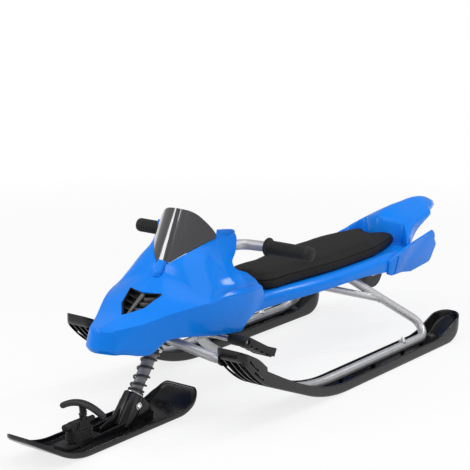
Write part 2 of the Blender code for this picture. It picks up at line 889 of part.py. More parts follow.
def arm(side, name):
    reach = SKI_TRACK / 2 - REAR_SKI_WIDTH / 2 - ARM_BOSS - GAP
    head = on_axis(head_low() + 0.022)
    corners = [
        (side * reach, along(ARM_STATION), ARM_HEIGHT),
        (side * (reach - 0.014), along(ARM_STATION), ARM_HEIGHT),
        (side * ARM_KNEE_X, along(ARM_KNEE_STATION), ARM_KNEE_HEIGHT),
        head,
    ]
    path = rounded_path(corners, [0.060, 0.030])
    mesh = tube_mesh(name, path, ARM_RADIUS, 12, ARM_RADIUS - TUBE_WALL)
    made = place(name, mesh, GREY_STEEL, 0.35, 0.7)
    start = on_axis(head_low() - 0.03)
    end = on_axis(head_high() + 0.03)
    cut = bore_guide(name + "_head", start, end, HEAD_RADIUS + GAP, 24)
    combine(made, cut, "DIFFERENCE")
    half = box_mesh("half", (0.0, -1.0, -0.1), (-0.3 * side, 1.0, 0.6))
    combine(made, guide(name + "_half", half), "DIFFERENCE")
    knee = Vector(corners[2])
    heading = (head - knee).normalized()
    return knee, heading, head


def arm_collar(side, name, head, heading):
    # A black sleeve at the arm's inner end, its face square to the arm.
    near = head - heading * (HEAD_RADIUS + 0.012)
    far = near - heading * ARM_COLLAR_LENGTH
    mesh = tube_mesh(name, [far, near], ARM_COLLAR_RADIUS, 16, ARM_RADIUS + GAP)
    made = place(name, mesh, BLACK_PLASTIC, 0.45)
    cut = bore_guide(
        name + "_head", on_axis(head_low() - 0.03), on_axis(head_high() + 0.03), HEAD_RADIUS + GAP, 24
    )
    combine(made, cut, "DIFFERENCE")
    return made


def frame_tubes(holes):
    start = on_axis(head_low())
    end = on_axis(head_high())
    head = place(
        "head_tube", tube_mesh("head_tube", [start, end], HEAD_RADIUS, 20, HEAD_BORE),
        GREY_STEEL, 0.40, 0.7,
    )
    height = backbone_height()
    axis_there = height / math.cos(AXIS_RAKE)
    front = Vector((0.0, on_axis(axis_there).y, height))
    back = Vector((0.0, along(BACKBONE_END), height))
    mesh = tube_mesh("backbone_tube", [front, back], BACKBONE_RADIUS, 16, BACKBONE_RADIUS - TUBE_WALL)
    spine = place("backbone_tube", mesh, GREY_STEEL, 0.40, 0.7)
    low = on_axis(head_low() - 0.02)
    high = on_axis(head_high() + 0.02)
    combine(spine, bore_guide("spine_head", low, high, HEAD_RADIUS + GAP, 24), "DIFFERENCE")
    for side, word in ((1, "left"), (-1, "right")):
        rail(side, "rail_" + word, holes[side])
        brace(side, "brace_" + word)
        knee, heading, inner = arm(side, "front_arm_" + word)
        arm_collar(side, "arm_collar_" + word, inner, heading)
    return head


def flat_plate(name, station, length, width):
    low = (-width / 2, along(station) - length / 2, plate_bottom())
    high = (width / 2, along(station) + length / 2, plate_bottom() + PLATE_THICKNESS)
    return place(name, box_mesh(name, low, high), GREY_STEEL, 0.45, 0.7)


def rail_bolt(side, name):
    floor = 0.002 + GAP
    seat = RAIL_HEIGHT + RAIL_RADIUS + GAP
    profile = [
        (0.0, floor),
        (RAIL_BOLT_RADIUS, floor),
        (RAIL_BOLT_RADIUS, seat),
        (RAIL_NUT_RADIUS, seat),
        (RAIL_NUT_RADIUS, seat + RAIL_NUT_HEIGHT),
        (RAIL_BOLT_RADIUS, seat + RAIL_NUT_HEIGHT),
        (RAIL_BOLT_RADIUS, seat + RAIL_NUT_HEIGHT + 0.003),
        (0.0, seat + RAIL_NUT_HEIGHT + 0.003),
    ]
    made = place(name, turned_mesh(name, profile, 12), BRIGHT_STEEL, 0.25, 1.0)
    made.location = (side * SKI_TRACK / 2, along(RAIL_BOLT_STATION), 0.0)


# Cowl

def cowl_half_width(station):
    nose = COWL_NOSE
    share = COWL_HALF_WIDTH
    return smooth_follow(station, [
        (nose, 0.004),
        (nose + 0.007, 0.014),
        (nose + 0.033, 0.036),
        (nose + 0.064, 0.057),
        (nose + 0.099, 0.078),
        (nose + 0.132, 0.096),
        (nose + 0.166, 0.112),
        (nose + 0.210, share - 0.007),
        (nose + 0.270, share),
        (nose + 0.330, share - 0.001),
        (COWL_END, share - 0.012),
    ])


def cowl_crease(station):
    nose = COWL_NOSE
    return smooth_follow(station, [
        (nose, 0.218), (nose + 0.064, 0.226), (nose + 0.132, 0.243), (nose + 0.210, 0.253),
        (nose + 0.270, 0.256), (COWL_END, 0.247),
    ])


def cowl_sill(station):
    # The lower edge: level under the nose, arched over the front arms, then falling back.
    nose = COWL_NOSE
    return follow(station, [
        (nose, COWL_SILL + 0.002), (nose + 0.088, COWL_SILL - 0.005),
        (nose + 0.100, COWL_SILL + 0.006), (nose + 0.118, COWL_SILL + 0.020),
        (nose + 0.155, COWL_SILL + 0.021), (nose + 0.222, COWL_SILL + 0.013),
        (nose + 0.293, COWL_SILL + 0.005), (COWL_END, COWL_SILL + 0.003),
    ])


def hood_height(station):
    # The hood's centre line from the nose to the foot of the windshield.
    nose = COWL_NOSE
    return smooth_follow(station, [
        (nose, 0.222), (nose + 0.040, 0.228), (nose + 0.087, 0.239), (nose + 0.142, 0.270),
        (nose + 0.181, 0.2935), (split_station(), screen_edge_height(0.0)),
    ])


def screen_edge_height(x):
    return SCREEN_BASE + SCREEN_EDGE_SLOPE * (abs(x) - SCREEN_BASE_X)


def screen_station(x, z):
    return SCREEN_STATION + SCREEN_RAKE * (z - SCREEN_BASE) + SCREEN_CURVE * x * x


def split_station():
    return screen_station(0.0, screen_edge_height(0.0))


def post_front():
    return screen_station(SCREEN_HALF_WIDTH, screen_edge_height(SCREEN_HALF_WIDTH))


def cowl_top_edge(station):
    # Half width and height of the opening's edge behind the foot of the windshield.
    start = split_station()
    if station <= start:
        return 0.0, hood_height(station)
    if station <= post_front():
        slope = SCREEN_RAKE * SCREEN_EDGE_SLOPE
        x = (-slope + math.sqrt(slope**2 + 4 * SCREEN_CURVE * (station - start))) / (2 * SCREEN_CURVE)
        return x, screen_edge_height(x)
    x = follow(station, [
        (post_front(), SCREEN_HALF_WIDTH), (post_front() + 0.006, SCREEN_HALF_WIDTH + 0.004),
        (COWL_END, SCREEN_HALF_WIDTH + 0.008),
    ])
    z = follow(station, [
        (post_front(), screen_edge_height(SCREEN_HALF_WIDTH)), (post_front() + 0.003, 0.386),
        (COWL_END, 0.386),
    ])
    return x, z


def cowl_section(station, count=6):
    # Points from the lower edge over the crease to the top edge, on the left half.
    wide = cowl_half_width(station)
    crease = cowl_crease(station)
    sill = cowl_sill(station)
    top_x, top_z = cowl_top_edge(station)
    tuck = 0.004 * blend(station, COWL_NOSE, COWL_NOSE + 0.05)
    points = [(wide - tuck, sill), (wide - tuck * 0.2, (sill + crease) / 2), (wide, crease)]
    span = wide - top_x
    rise = top_z - crease
    hollow = follow(station, [
        (0.350, 0.0), (0.400, 0.35), (0.440, 0.55), (0.466, 0.66), (0.483, 0.68), (0.510, 0.80),
        (0.560, 1.0),
    ])
    for i in range(1, count + 1):
        t = i / count
        x = wide - span * t
        crown = 0.45 * t + 0.55 * math.sin(t * math.pi / 2)
        scoop = 0.30 * t + 0.70 * t**3.4
        points.append((x, crease + rise * (crown + (scoop - crown) * hollow)))
    return [Vector((x, along(station), z)) for x, z in points]


def cowl():
    stations = [COWL_NOSE, COWL_NOSE + 0.006] + spread(COWL_NOSE + 0.020, COWL_NOSE + 0.086, 4)
    stations += spread(COWL_NOSE + 0.094, split_station() - 0.012, 6)
    stations += spread(split_station(), post_front(), 6)
    stations += [post_front() + 0.003, post_front() + 0.012, 0.560, 0.590, COWL_END]
    rows = [cowl_section(station) for station in stations]
    bm = bmesh.new()
    for side in (1, -1):
        grid = [[bm.verts.new((p.x * side, p.y, p.z)) for p in row] for row in rows]
        for low, high in zip(grid, grid[1:]):
            for i in range(len(low) - 1):
                face = (low[i], low[i + 1], high[i + 1], high[i])
                bm.faces.new(face if side > 0 else face[::-1])
    front = [v for v in bm.verts if abs(v.co.y - along(COWL_NOSE)) < 1e-6]
    for vert in front:
        vert.co.x = 0.0
    bmesh.ops.remove_doubles(bm, verts=bm.verts, dist=0.00005)
    bmesh.ops.dissolve_degenerate(bm, edges=bm.edges, dist=0.00002)
    bmesh.ops.recalc_face_normals(bm, faces=bm.faces)
    if sum(face.normal.z * face.calc_area() for face in bm.faces) < 0.0:
        bmesh.ops.reverse_faces(bm, faces=bm.faces)
    mesh = bpy.data.meshes.new("cowl")
    bm.to_mesh(mesh)
    bm.free()
    mesh.shade_smooth()
    shell = place("cowl", mesh, BLUE, 0.18)
    thicken(shell, SHELL)
    # The rear edge: the post, the notch behind it, the shoulder and the lower corner.
    edge = [
        (0.500, 0.400), (0.509, 0.380), (0.555, 0.375), (0.575, 0.370), (0.584, 0.358),
        (0.585, 0.343), (0.571, 0.329), (0.563, 0.309), (0.565, 0.293), (0.577, 0.286),
        (0.600, 0.276), (0.608, 0.262), (0.610, 0.246), (0.609, 0.221), (0.576, 0.201),
        (0.533, 0.171), (0.520, 0.140),
    ]
    outline = [(along(s), z) for s, z in edge + [(0.70, 0.140), (0.70, 0.400)]]
    trim = guide("cowl_trim", prism_mesh("cowl_trim", outline, "X", -0.2, 0.2))
    combine(shell, trim, "DIFFERENCE")
    # The foot of the windshield's ridge.
    foot = hood_height(HUMP_STATION) - 0.004
    ridge = [
        (HUMP_STATION, foot), (HUMP_STATION + HUMP_LENGTH, foot + HUMP_LENGTH * 1.1),
        (HUMP_STATION + HUMP_LENGTH - 0.001, 0.3245), (HUMP_STATION + HUMP_LENGTH - 0.006, 0.3250),
        (HUMP_STATION, foot + 0.008),
    ]
    wide = HUMP_WIDTH / 2
    mesh = prism_mesh("hump", [(along(s), z) for s, z in ridge], "X", -wide, wide)
    combine(shell, guide("cowl_hump", mesh), "UNION")
    return shell


def vent_outline(inset):
    half = VENT_HALF_WIDTH - inset
    length = VENT_LENGTH / 2
    corners = [
        (0.0, length - 0.010 - inset), (half, length - inset), (half * 0.74, -length * 0.12 + inset),
        (0.0, -length + inset * 1.6), (-half * 0.74, -length * 0.12 + inset), (-half, length - inset),
    ]
    return corners


def vent_frame():
    height = hood_height(VENT_STATION)
    return empty("vent_frame", (0.0, along(VENT_STATION), height), VENT_SLOPE)


def vent(shell):
    frame = vent_frame()
    cut = guide("vent_cut", prism_mesh("vent_cut", vent_outline(0.0), "Z", -0.04, 0.03))
    cut.parent = frame
    combine(shell, cut, "DIFFERENCE")
    top = -0.0045
    outline = vent_outline(GAP)
    made = place(
        "vent_insert", prism_mesh("vent_insert", outline, "Z", top - VENT_DEPTH, top),
        BLACK_PLASTIC, 0.5,
    )
    made.parent = frame
    # Three slots on each side leave the louvres and the centre bar.
    slots = 4
    length = VENT_LENGTH - 0.016
    for side in (-1, 1):
        for i in range(slots):
            low = -length / 2 + 0.004 + i * (length - 0.006) / slots
            high = low + (length - 0.006) / slots - VENT_LOUVRE
            reach = follow(low, [(-length / 2, 0.010), (-0.004, 0.026), (length / 2, 0.036)])
            corners = [(side * 0.0035, low), (side * reach, low + 0.004), (side * reach, high + 0.004)]
            corners.append((side * 0.0035, high))
            slot = prism_mesh("slot", corners, "Z", top - VENT_DEPTH + 0.003, top + 0.01)
            cutter = guide("vent_slot_%d_%d" % (side, i), slot)
            cutter.parent = frame
            combine(made, cutter, "DIFFERENCE")
    return made


def screen_top(x):
    return smooth_follow(abs(x), [
        (0.0, SCREEN_TOP), (0.015, SCREEN_TOP - 0.001), (0.030, SCREEN_TOP - 0.004),
        (0.045, SCREEN_TOP - 0.012), (0.060, SCREEN_TOP - 0.0265), (0.070, SCREEN_TOP - 0.039),
        (SCREEN_HALF_WIDTH, SCREEN_TOP - 0.052),
    ])


def windshield():
    rows = []
    reach = SCREEN_HALF_WIDTH - EDGE_GAP
    for i in range(17):
        x = -reach + 2 * reach * i / 16
        low = screen_edge_height(x) + EDGE_GAP * 1.5
        if abs(x) < SCREEN_BASE_X:
            low = SCREEN_BASE + EDGE_GAP * 1.5
        high = screen_top(x)
        column = []
        for j in range(7):
            z = low + (high - low) * j / 6
            column.append(Vector((x, along(screen_station(x, z)), z)))
        rows.append(column)
    bm = bmesh.new()
    grid = [[bm.verts.new(p) for p in row] for row in rows]
    for low, high in zip(grid, grid[1:]):
        for j in range(len(low) - 1):
            bm.faces.new((low[j], high[j], high[j + 1], low[j + 1]))
    bmesh.ops.recalc_face_normals(bm, faces=bm.faces)
    if sum(face.normal.y * face.calc_area() for face in bm.faces) > 0.0:
        bmesh.ops.reverse_faces(bm, faces=bm.faces)
    mesh = bpy.data.meshes.new("windshield")
    bm.to_mesh(mesh)
    bm.free()
    mesh.shade_smooth()
    made = place("windshield", mesh, SMOKE, 0.08)
    thicken(made, SHELL)


def cowl_bar():
    half = 0.010
    inner = cowl_half_width(COWL_BAR_STATION) - SHELL - GAP - 0.003
    y = along(COWL_BAR_STATION)
    base = backbone_height() + BACKBONE_RADIUS + GAP
    z = COWL_BAR_HEIGHT
    outline = [
        (-0.015, base), (0.015, base), (0.015, z - 0.004), (inner, z - 0.004), (inner, z),
        (-inner, z), (-inner, z - 0.004), (-0.015, z - 0.004),
    ]
    mesh = prism_mesh("cowl_bracket", outline, "Y", y - half, y + half)
    place("cowl_bracket", mesh, GREY_STEEL, 0.5, 0.7)


# Seat

def seat_half_width(station):
    wide = SEAT_HALF_WIDTH
    return smooth_follow(station, [
        (SEAT_START, wide - 0.030), (0.733, wide - 0.026), (0.883, wide - 0.007),
        (1.033, wide), (1.183, wide), (1.243, wide - 0.003), (1.283, wide - 0.009),
        (1.313, wide - 0.017), (1.343, wide - 0.027), (1.383, wide - 0.040),
        (1.424, wide - 0.050), (1.434, wide - 0.060), (1.473, wide - 0.074),
        (1.505, wide - 0.088), (TAIL_TIP, wide - 0.096),
    ])


def seat_sill(station):
    return follow(station, [
        (SEAT_START, SEAT_SILL), (1.033, SEAT_SILL + 0.003), (1.183, SEAT_SILL - 0.006),
        (1.243, SEAT_SILL + 0.012), (1.283, SEAT_SILL + 0.030), (1.313, SEAT_SILL + 0.042),
        (1.343, SEAT_SILL + 0.057), (1.383, SEAT_SILL + 0.070), (1.433, SEAT_SILL + 0.079),
        (TAIL_TIP, SEAT_SILL + 0.085),
    ])


def tail_ridge(station):
    top = TAIL_HEIGHT
    return smooth_follow(station, [
        (LIP_STATION, top - 0.025), (1.300, top - 0.006), (1.383, top - 0.001), (1.428, top),
        (1.473, top - 0.006), (1.505, top - 0.018), (TAIL_TIP, top - 0.028),
    ])


def lip_shift(x):
    # How far the lip over the pad's rear end falls back at a distance from the middle.
    return LIP_CURVE * min(abs(x), 0.085) ** 2


def deck_height(x, station):
    edge = abs(x) / seat_half_width(station)
    return DECK_HEIGHT - 0.010 * max(0.0, (edge - 0.8) / 0.2) ** 2


def roof_height(x, station):
    edge = abs(x) / seat_half_width(station)
    return tail_ridge(station) - 0.54 * abs(x) - 0.004 * edge**6


def seat_section(base, bow, roofed, count=8):
    # One row of the left half, from the lower edge up the side and in to the middle.
    station = base
    for _ in range(4):
        station = base + bow * lip_shift(seat_half_width(station))
    wide = seat_half_width(station)
    height = roof_height if roofed else deck_height
    top = height(wide, station)
    low = min(seat_sill(station), top - 0.004)
    points = [(wide, station, low), (wide, station, (low + top) / 2), (wide, station, top - 0.001)]
    for i in range(1, count + 1):
        x = wide * (0.6 * (1.0 - i / count) + 0.4 * math.cos(math.pi / 2 * i / count))
        there = base + bow * lip_shift(x)
        points.append((x, there, height(x, there)))
    return [Vector((x, along(s), z)) for x, s, z in points]


def seat_shell():
    deck = [(SEAT_START, 0.0), (0.733, 0.0), (0.883, 0.0), (1.033, 0.0), (1.120, 0.2)]
    deck += [(1.180, 0.5), (1.215, 0.8), (1.237, 1.0), (LIP_STATION - 0.001, 1.0)]
    roof = [(LIP_STATION + 0.001, 1.0), (LIP_STATION + 0.004, 1.0), (1.262, 1.0), (1.278, 0.9)]
    roof += [(1.296, 0.7), (1.318, 0.45), (1.342, 0.25), (1.370, 0.1)]
    roof += [(station, 0.0) for station in (1.400, 1.424, 1.434, 1.450, 1.468, 1.485, 1.500)]
    roof += [(1.512, 0.0), (TAIL_TIP, 0.0)]
    rows = []
    places = [(base, bow, False) for base, bow in deck] + [(base, bow, True) for base, bow in roof]
    for base, bow, roofed in places:
        half = seat_section(base, bow, roofed)
        mirrored = [Vector((-p.x, p.y, p.z)) for p in half[:-1]]
        rows.append(half + mirrored[::-1])
    shell = place("seat_shell", sheet_mesh("seat_shell", rows), BLUE, 0.18)
    thicken(shell, SHELL)
    start, end = FIN_START, FIN_START + FIN_LENGTH
    sill = SEAT_SILL
    outline = [
        (start, sill - 0.010), (start + 0.016, sill - 0.016), (start + 0.068, sill - 0.018),
        (start + 0.105, sill - 0.024), (end - 0.030, sill - 0.016), (end, sill + 0.022),
        (end - 0.008, sill + 0.036), (end - 0.007, sill + 0.049), (end - 0.018, sill + 0.061),
        (start + 0.103, sill + 0.045), (start + 0.040, sill + 0.032), (start + 0.004, sill + 0.022),
    ]
    for side in (-1, 1):
        inner = side * (SEAT_HALF_WIDTH - SHELL * 0.8)
        outer = inner + side * FIN_THICKNESS
        low, high = min(inner, outer), max(inner, outer)
        fin = prism_mesh("fin", [(along(s), z) for s, z in outline], "X", low, high)
        combine(shell, guide("tail_fin_%d" % side, fin), "UNION")
        groove = [(start + 0.016, sill - 0.008), (start + 0.022, sill - 0.008)]
        groove += [(start + 0.043, sill + 0.027), (start + 0.037, sill + 0.027)]
        face = outer - side * 0.002
        low, high = min(face, face + side * 0.01), max(face, face + side * 0.01)
        cut = prism_mesh("groove", [(along(s), z) for s, z in groove], "X", low, high)
        combine(shell, guide("fin_groove_%d" % side, cut), "DIFFERENCE")
    return shell


def pad_outline():
    # The left edge of the pad from its front end to the middle of the lip, as (x, station).
    wide = SEAT_HALF_WIDTH - PAD_INSET
    points = []
    for station in spread(PAD_START, PAD_START + 0.05, 5):
        points.append((rounded_end(station - PAD_START, wide - 0.018, 0.05, 0.03), station))
    points += [(wide - 0.016, 0.800), (wide - 0.006, 0.880), (wide, 0.960), (wide, 1.080)]
    points += [(wide - 0.003, 1.130), (wide - 0.013, 1.180), (wide - 0.024, 1.222)]
    for share in (0.86, 0.72, 0.5, 0.25, 0.0):
        x = (wide - 0.030) * share
        points.append((x, LIP_STATION - 0.0035 + lip_shift(x)))
    return points


def seat_pad():
    # A crowned cushion with drawn-in sides: rings from the base to the middle of the top.
    left = pad_outline()
    outline = [(x, s) for x, s in left] + [(-x, s) for x, s in left[-2::-1]]
    base = DECK_HEIGHT + GAP
    middle = (PAD_START + LIP_STATION) / 2
    length = LIP_STATION - PAD_START
    steps = (
        (0.006, 0.0), (0.001, 0.30), (0.0, 0.50), (0.004, 0.74), (0.012, 0.89), (0.026, 0.97),
        (0.048, 1.0),
    )
    bm = bmesh.new()
    rings = []
    for inset, rise in steps:
        ring = []
        for x, station in outline:
            shrink = 1.0 - inset / (SEAT_HALF_WIDTH - PAD_INSET)
            pull = 1.0 - 2 * inset / length
            ring.append(bm.verts.new((
                x * shrink, along(middle + (station - middle) * pull), base + PAD_HEIGHT * rise,
            )))
        rings.append(ring)
    for low, high in zip(rings, rings[1:]):
        for i in range(len(low)):
            j = (i + 1) % len(low)
            bm.faces.new((low[i], low[j], high[j], high[i]))
    count = len(left)
    for ring in (rings[0], rings[-1]):
        for i in range(count - 1):
            right, left_edge = ring[-1 - i], ring[i]
            if i == count - 2:
                bm.faces.new((left_edge, ring[i + 1], right))
            else:
                bm.faces.new((left_edge, ring[i + 1], ring[-2 - i], right))
    place("seat_pad", mesh_from(bm, "seat_pad"), PAD_BROWN, 0.75)


# Steering and suspension, in the frame of the steering axis

def coil_path():
    # The wire stands square on both seats, then winds round the strut.
    wire = 2 * SPRING_WIRE
    low = spring_low() + GAP
    high = spring_high() - GAP
    start, end = low + wire * 1.5, high - wire * 1.5
    per_coil = 9
    count = SPRING_COILS * per_coil
    points = [Vector((SPRING_RADIUS, 0.0, low))]
    for i in range(count + 1):
        angle = 2 * math.pi * i / per_coil
        rise = start + (end - start) * i / count
        points.append(Vector((SPRING_RADIUS * math.cos(angle), SPRING_RADIUS * math.sin(angle), rise)))
    last = points[-1]
    points.append(Vector((last.x, last.y, high - wire)))
    points.append(Vector((last.x, last.y, high)))
    return points


def least_gap(points, radius, apart):
    # The least gap between stretches of a wound tube that are some points apart.
    best = 1.0
    for i, point in enumerate(points):
        for other in points[i + apart:]:
            best = min(best, (point - other).length - 2 * radius)
    return best


def axis_piece(name, profile, colour, roughness, metallic, parent, sides=20):
    made = place(name, turned_mesh(name, profile, sides), colour, roughness, metallic)
    made.parent = parent
    return made


def suspension(parent, bolt_hole):
    tube = [
        (STRUT_RADIUS, STRUT_FOOT), (STRUT_RADIUS, STRUT_TOP),
        (STRUT_RADIUS - STRUT_WALL, STRUT_TOP), (STRUT_RADIUS - STRUT_WALL, STRUT_FOOT),
    ]
    strut = axis_piece("strut", tube, GREY_STEEL, 0.25, 0.9, parent, 16)
    combine(strut, bolt_hole, "DIFFERENCE")
    low = TOWER_TOP + GAP
    seat = ring_profile(SPRING_SEAT_RADIUS, STRUT_RADIUS + GAP, low, low + SPRING_SEAT_HEIGHT)
    axis_piece("lower_spring_seat", seat, BRIGHT_STEEL, 0.3, 1.0, parent)
    points = coil_path()
    spring = place("coil_spring", tube_mesh("coil_spring", points, SPRING_WIRE, 6), RUBBER, 0.35, 0.3)
    spring.parent = parent
    share = 1.0 - SUSPENSION_TRAVEL / SPRING_LENGTH
    pressed = [Vector((point.x, point.y, point.z * share)) for point in points]
    for word, path in (("at rest", points), ("fully pressed", pressed)):
        gap = round(least_gap(path, SPRING_WIRE, 7) * 1000, 2)
        print("least gap in the coil spring %s, mm: %s" % (word, gap))
    side = tower_radius(STRUT_BOLT - STRUT_BOLT_HEAD) + GAP
    head = 0.004
    profile = [
        (0.0, -side - head), (STRUT_BOLT_HEAD, -side - head), (STRUT_BOLT_HEAD, -side),
        (STRUT_BOLT_RADIUS, -side), (STRUT_BOLT_RADIUS, side), (STRUT_BOLT_HEAD, side),
        (STRUT_BOLT_HEAD, side + head * 0.7), (0.0, side + head),
    ]
    bolt = place("strut_bolt", turned_mesh("strut_bolt", profile, 12), BRIGHT_STEEL, 0.25, 1.0)
    bolt.parent = parent
    bolt.location = (0.0, 0.0, STRUT_BOLT)
    bolt.rotation_euler = (0.0, math.pi / 2, 0.0)


def steering(parent):
    low = spring_high() + GAP
    seat = ring_profile(SPRING_SEAT_RADIUS, STRUT_RADIUS + 2 * GAP, low, low + 2 * SPRING_SEAT_HEIGHT)
    axis_piece("upper_spring_seat", seat, BRIGHT_STEEL, 0.3, 1.0, parent)
    foot = low + 2 * SPRING_SEAT_HEIGHT + GAP
    tube = ring_profile(COLUMN_RADIUS, COLUMN_BORE, foot, column_top())
    axis_piece("steering_column", tube, GREY_STEEL, 0.35, 0.8, parent)
    flange = foot
    sleeve = HEAD_BORE - GAP
    bore = bored(COLUMN_RADIUS + GAP)
    lower = [
        (BUSH_FLANGE_RADIUS, flange), (BUSH_FLANGE_RADIUS, flange + BUSH_FLANGE - GAP),
        (sleeve, flange + BUSH_FLANGE - GAP), (sleeve, flange + BUSH_FLANGE + BUSH_LENGTH),
        (bore, flange + BUSH_FLANGE + BUSH_LENGTH), (bore, flange),
    ]
    axis_piece("lower_bush", lower, BLACK_PLASTIC, 0.5, 0.0, None)
    top = head_high()
    upper = [
        (BUSH_FLANGE_RADIUS, top + GAP + BUSH_FLANGE), (bore, top + GAP + BUSH_FLANGE),
        (bore, top - BUSH_LENGTH), (sleeve, top - BUSH_LENGTH), (sleeve, top + GAP),
        (BUSH_FLANGE_RADIUS, top + GAP),
    ]
    axis_piece("upper_bush", upper, BLACK_PLASTIC, 0.5, 0.0, None)
    rest = top + 2 * GAP + BUSH_FLANGE
    collar = ring_profile(COLLAR_RADIUS, COLUMN_RADIUS + GAP, rest, rest + COLLAR_HEIGHT)
    axis_piece("lock_collar", collar, BRIGHT_STEEL, 0.35, 0.9, parent)
    for name in ("lower_bush", "upper_bush"):
        bpy.data.objects[name].matrix_world = parent.matrix_world.copy()


def clamp(parent):
    low, half, deep = column_top() + GAP, CLAMP_WIDTH / 2, CLAMP_DEPTH / 2
    bar = bore_guide(
        "bar_bore", Vector((-0.1, 0.0, BAR_HEIGHT)), Vector((0.1, 0.0, BAR_HEIGHT)),
        BAR_RADIUS + GAP, 20,
    )
    bar.parent = parent
    base = place(
        "clamp_base", box_mesh("clamp_base", (-half, -deep, low), (half, deep, BAR_HEIGHT - GAP)),
        BLACK_PLASTIC, 0.45,
    )
    plug = turned_mesh("plug", rod_profile(COLUMN_BORE - GAP, column_top() - 0.022, low + 0.002), 16)
    plug = guide("clamp_plug", plug)
    plug.parent = parent
    combine(base, plug, "UNION")
    cap = place(
        "clamp_cap",
        box_mesh(
            "clamp_cap", (-half, -deep, BAR_HEIGHT + GAP), (half, deep, BAR_HEIGHT + CLAMP_HEIGHT)
        ),
        BLACK_PLASTIC, 0.45,
    )
    for piece in (base, cap):
        piece.parent = parent
        combine(piece, bar, "DIFFERENCE")


def bar_corner(side):
    centre = on_axis(BAR_HEIGHT)
    return [
        centre,
        centre + Vector((side * (CLAMP_WIDTH / 2 + 0.016), 0.0, 0.0)),
        centre + Vector((side * 0.062, BAR_SWEEP * 0.90, 0.0)),
        centre + Vector((side * 0.112, BAR_SWEEP, 0.0)),
        centre + Vector((side * (BAR_WIDTH / 2 - GRIP_END - GAP), BAR_SWEEP, 0.0)),
    ]


def handlebar(parent):
    left, right = bar_corner(1), bar_corner(-1)
    corners = right[:0:-1] + left[1:]
    path = rounded_path(corners, [0.030, 0.030, 0.018, 0.018, 0.030, 0.030])
    mesh = tube_mesh("handlebar", path, BAR_RADIUS, 12, BAR_RADIUS - TUBE_WALL)
    bar = place("handlebar", mesh, GREY_STEEL, 0.3, 0.8)
    hang(bar, parent)
    bore = bored(BAR_RADIUS + GAP, 16)
    for side, word in ((1, "left"), (-1, "right")):
        bend, end = bar_corner(side)[3:]
        heading = (end - bend).normalized()
        reach = GRIP_LENGTH
        profile = [
            (0.0, reach), (GRIP_RADIUS * 0.7, reach), (GRIP_RADIUS, reach - 0.004),
            (GRIP_RADIUS, GRIP_FLANGE), (GRIP_FLANGE_RADIUS, GRIP_FLANGE), (GRIP_FLANGE_RADIUS, 0.0),
            (bore, 0.0), (bore, reach - GRIP_END), (0.0, reach - GRIP_END),
        ]
        name = "grip_" + word
        grip = place(name, turned_mesh(name, profile, 16), RUBBER, 0.7)
        grip.location = end + heading * (GRIP_END + GAP - reach)
        grip.rotation_mode = "QUATERNION"
        grip.rotation_quaternion = heading.to_track_quat("Z", "Y")
        hang(grip, parent)


# Tow handle, its base and the line wound on it

def tow_unit(parent, lift):
    deck = FRONT_SKI_FLOOR + GAP
    y = along(TOW_STATION)
    middle = along(TOW_NECK_STATION)
    wide = TOW_BASE_WIDTH / 2
    places = spread(TOW_BASE_START, TOW_BASE_START + TOW_BASE_LENGTH, 7)
    foot = [(along(s), front_sole(s) + deck) for s in places]
    foot += [(v, z + TOW_BASE_THICKNESS) for v, z in foot[::-1]]
    base = place("tow_base", prism_mesh("tow_base", foot, "X", -wide, wide), BLACK_PLASTIC, 0.4)
    nh, nw = TOW_NECK_LENGTH / 2, TOW_NECK_WIDTH / 2
    corners = [(-nw, middle - nh), (nw, middle - nh), (nw, middle + nh), (-nw, middle + nh)]
    neck = rounded_outline(corners, [nw * 0.95] * 4)
    neck = guide("tow_neck", prism_mesh("tow_neck", neck, "Z", deck + 0.002, TOW_NECK_TOP))
    combine(base, neck, "UNION")
    loops_top = LINE_START + (LINE_LOOPS + 0.6) * LINE_PITCH + LINE_RADIUS
    for number, (place_at, radius) in enumerate(((-1, TOW_HORN_RADIUS), (1, TOW_KNOB_RADIUS))):
        near = Vector((0.0, middle + place_at * (nh - 0.004), loops_top + radius + 0.001))
        far = near + Vector((0.0, place_at * 0.016, 0.0))
        horn = rod_guide("tow_horn_%d" % number, near, far, radius, 12)
        combine(base, horn, "UNION")
    bore = bore_guide(
        "tow_bore", Vector((0.0, y, TOW_NECK_TOP - 0.020)), Vector((0.0, y, TOW_NECK_TOP + 0.02)),
        TOW_STEM_RADIUS + GAP, 12,
    )
    combine(base, bore, "DIFFERENCE")
    hang(base, parent)

    reach = TOW_BOW_WIDTH / 2
    bow = []
    for i in range(13):
        x = -reach + 2 * reach * i / 12
        drop = TOW_BOW_DROP * (x / reach) ** 2
        bow.append(Vector((x, y, TOW_BOW_HEIGHT - drop)))
    handle = place("tow_handle", tube_mesh("tow_handle", bow, TOW_BOW_RADIUS, 10), BLACK_PLASTIC, 0.4)
    stem = rod_guide(
        "tow_stem", Vector((0.0, y, TOW_NECK_TOP - 0.020 + GAP)), Vector((0.0, y, TOW_BOW_HEIGHT)),
        TOW_STEM_RADIUS, 12,
    )
    combine(handle, stem, "UNION")
    hang(handle, lift)
    tow_line(parent, middle, nh, nw)


